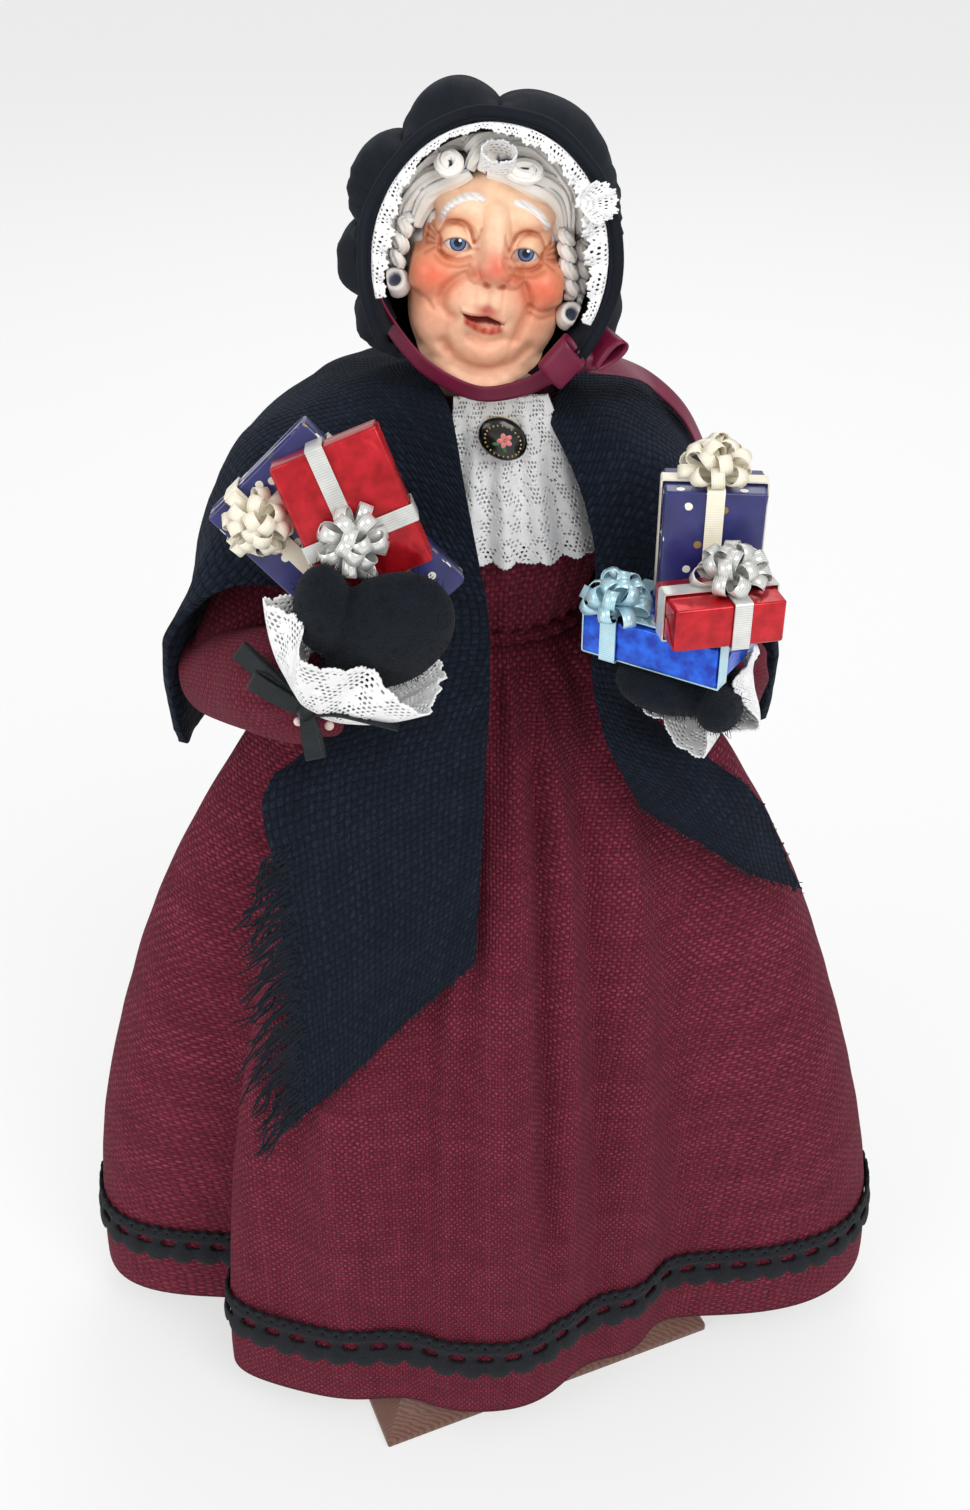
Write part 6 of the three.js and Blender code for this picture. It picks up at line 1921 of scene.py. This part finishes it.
def loopPoint(s, t):
    turn = fullTurn * s
    wide, tall = loopSet["radius"]
    ring = Vector((wide * sin(turn), -tall * cos(turn), loopSet["size"][1] * (t - 0.5)))
    return headFrame @ (Vector(loopSet["place"]) + Matrix.Rotation(rad(loopSet["tip"]), 3, "X") @ ring)


lacePiece("bonnetLaceLoop", frillSet, lambda x, y: frillPattern(x, y + 1.0), loopPoint, "head",
    size=loopSet["size"], ring=True)
ruffleSet = dict(size=(17, 5), place=(13.9, -17.6, 14.2), start=66, sweep=104, pleats=3, reach=(3.0, 3.6))


def rufflePoint(s, t):
    turn = rad(ruffleSet["start"] - ruffleSet["sweep"] * s)
    short, long = ruffleSet["reach"]
    out = 0.6 + t * (short + long * sin(pi * s) ** 0.6)
    forward = t * (1.1 + 0.7 * cos(fullTurn * ruffleSet["pleats"] * s))
    return headFrame @ (Vector(ruffleSet["place"]) + Vector((out * cos(turn), -forward, out * sin(turn))))


lacePiece("bonnetLaceRuffle", frillSet, frillPattern, rufflePoint, "head", size=ruffleSet["size"])
print("bonnet made")

# Wine ribbon: under the chin, a bow by the left jaw and a tail over the shoulder
ribbonSet = dict(width=7.2, chinWidth=4.0, tailWidth=4.6, tilt=33,
    chin=[(-22.6, -9, -0.4), (-21.0, -9.8, -5.4), (-17.2, -10.8, -11.2), (-9.6, -11.8, -18.3),
        (0.4, -12.5, -21.9), (8.8, -12.4, -20.0), (14.4, -12.7, -16.3), (19.4, -13.4, -13.4)],
    chinFacing=[(-0.8, -0.6, 0), (-0.75, -0.6, -0.1), (-0.7, -0.65, -0.3), (-0.35, -0.75, -0.55),
        (0, -0.8, -0.6), (0.2, -0.85, -0.5), (0.3, -0.9, -0.3), (0.3, -0.9, -0.2)],
    knot=(20.2, -14.2, -12.8),
    # loops from the knot: right, up and towards the viewer, then the way that the ribbon's width lies
    loops=[((-0.62, 0.72, 0.3), (0.62, 0.58, 0.53), 5.8, 2.4, (-3.2, -3.2, 1.8)),
        ((0.72, 0.62, 0.2), (0.5, -0.6, 0.6), 6.4, 1.8, (0, 0, 0))],
    ball=(1.7, 1.9, 1.8), pinch=0.92, tail=[(33, -11, 275.4), (41, -8.5, 267.0), (47.5, -8, 254.0)],
    tailFacing=[(0.1, -0.9, 0.4), (0.2, -0.7, 0.7), (0.5, -0.4, 0.75), (0.75, -0.3, 0.55), (0.9, -0.3, 0.3)])
makePiece(placed(ribbonStrip(ribbonSet["chin"], ribbonSet["chinWidth"], ribbonSet["chinFacing"], 72),
        headFrame), "chinRibbon", "wineSatin", "head", "ribbon", "chin_ribbon")
knotPlace = headFrame @ Vector(ribbonSet["knot"])
chinLoops = [ribbonLoopStrip(*loop, ribbonSet["width"], shift=shift, pinch=ribbonSet["pinch"])
    for *loop, shift in ribbonSet["loops"]]
chinBow = joined(chinLoops + [knotBall((0, 0, 0), ribbonSet["ball"])])
chinBow.transform(Matrix.Translation(knotPlace) @ tilted(90 - ribbonSet["tilt"], "X"))
makePiece(chinBow, "chinBow", "wineSatin", "head", "ribbon", "chin_bow")
tailTop = Vector(ribbonSet["tail"][0])
tailPath = [knotPlace, knotPlace.lerp(tailTop, 0.5) + Vector((0, -1.0, 1.2))] + ribbonSet["tail"]
tail = makePiece(ribbonStrip(tailPath, ribbonSet["tailWidth"], ribbonSet["tailFacing"], 60), "ribbonTail",
    "wineSatin", None, "ribbon", "ribbon_tail")
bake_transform(tail)
print("ribbons made")

# Cloth pieces: flat size, how it is held, what it rests on, what is sewn to it, and the share of the flat
# rectangle that the cut or the lace's thread fills
cuffFlat = tuple(side * mm for side in cuffSet["size"])
sheetSet = [(skirt, (0.64, 0.235), "gathered", ["muslinPetticoat"], [braid], 0.69),
    (petticoat, (0.6, 0.22), "gathered", ["torsoPad"], [], 0.68),
    (bodice, (0.165, 0.055), "stretched", ["torsoPad"], [], 1.0),
    (shawl, (0.5, 0.11), "draped", ["woolBodice", "woolSkirt"], [fringe], 0.5),
    (jabot, (0.038, 0.038), "hung", ["jabotUnderLace"], [], 0.8),
    (jabotUnder, (0.038, 0.034), "hung", ["woolBodice"], [], 0.8),
    (crown, (0.11, 0.11), "gathered", ["modelledHair"], [], 0.785),
    (brim, (0.105, 0.0115), "stretched", ["bonnetCrown"], [], 1.0),
    (frill, (0.108, 0.0105), "gathered", ["bonnetBrim"], [], 0.6)]
for armName in armSet:
    lace = bpy.data.objects[armName + "CuffLace"]
    sheetSet.append((lace, cuffFlat, "gathered", [armName + "ForearmSleeve"], [], 0.75))
for piece, flat, held, restsOn, withPieces, filled in sheetSet:
    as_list(restsOn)
    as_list(withPieces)

print("scene complete")
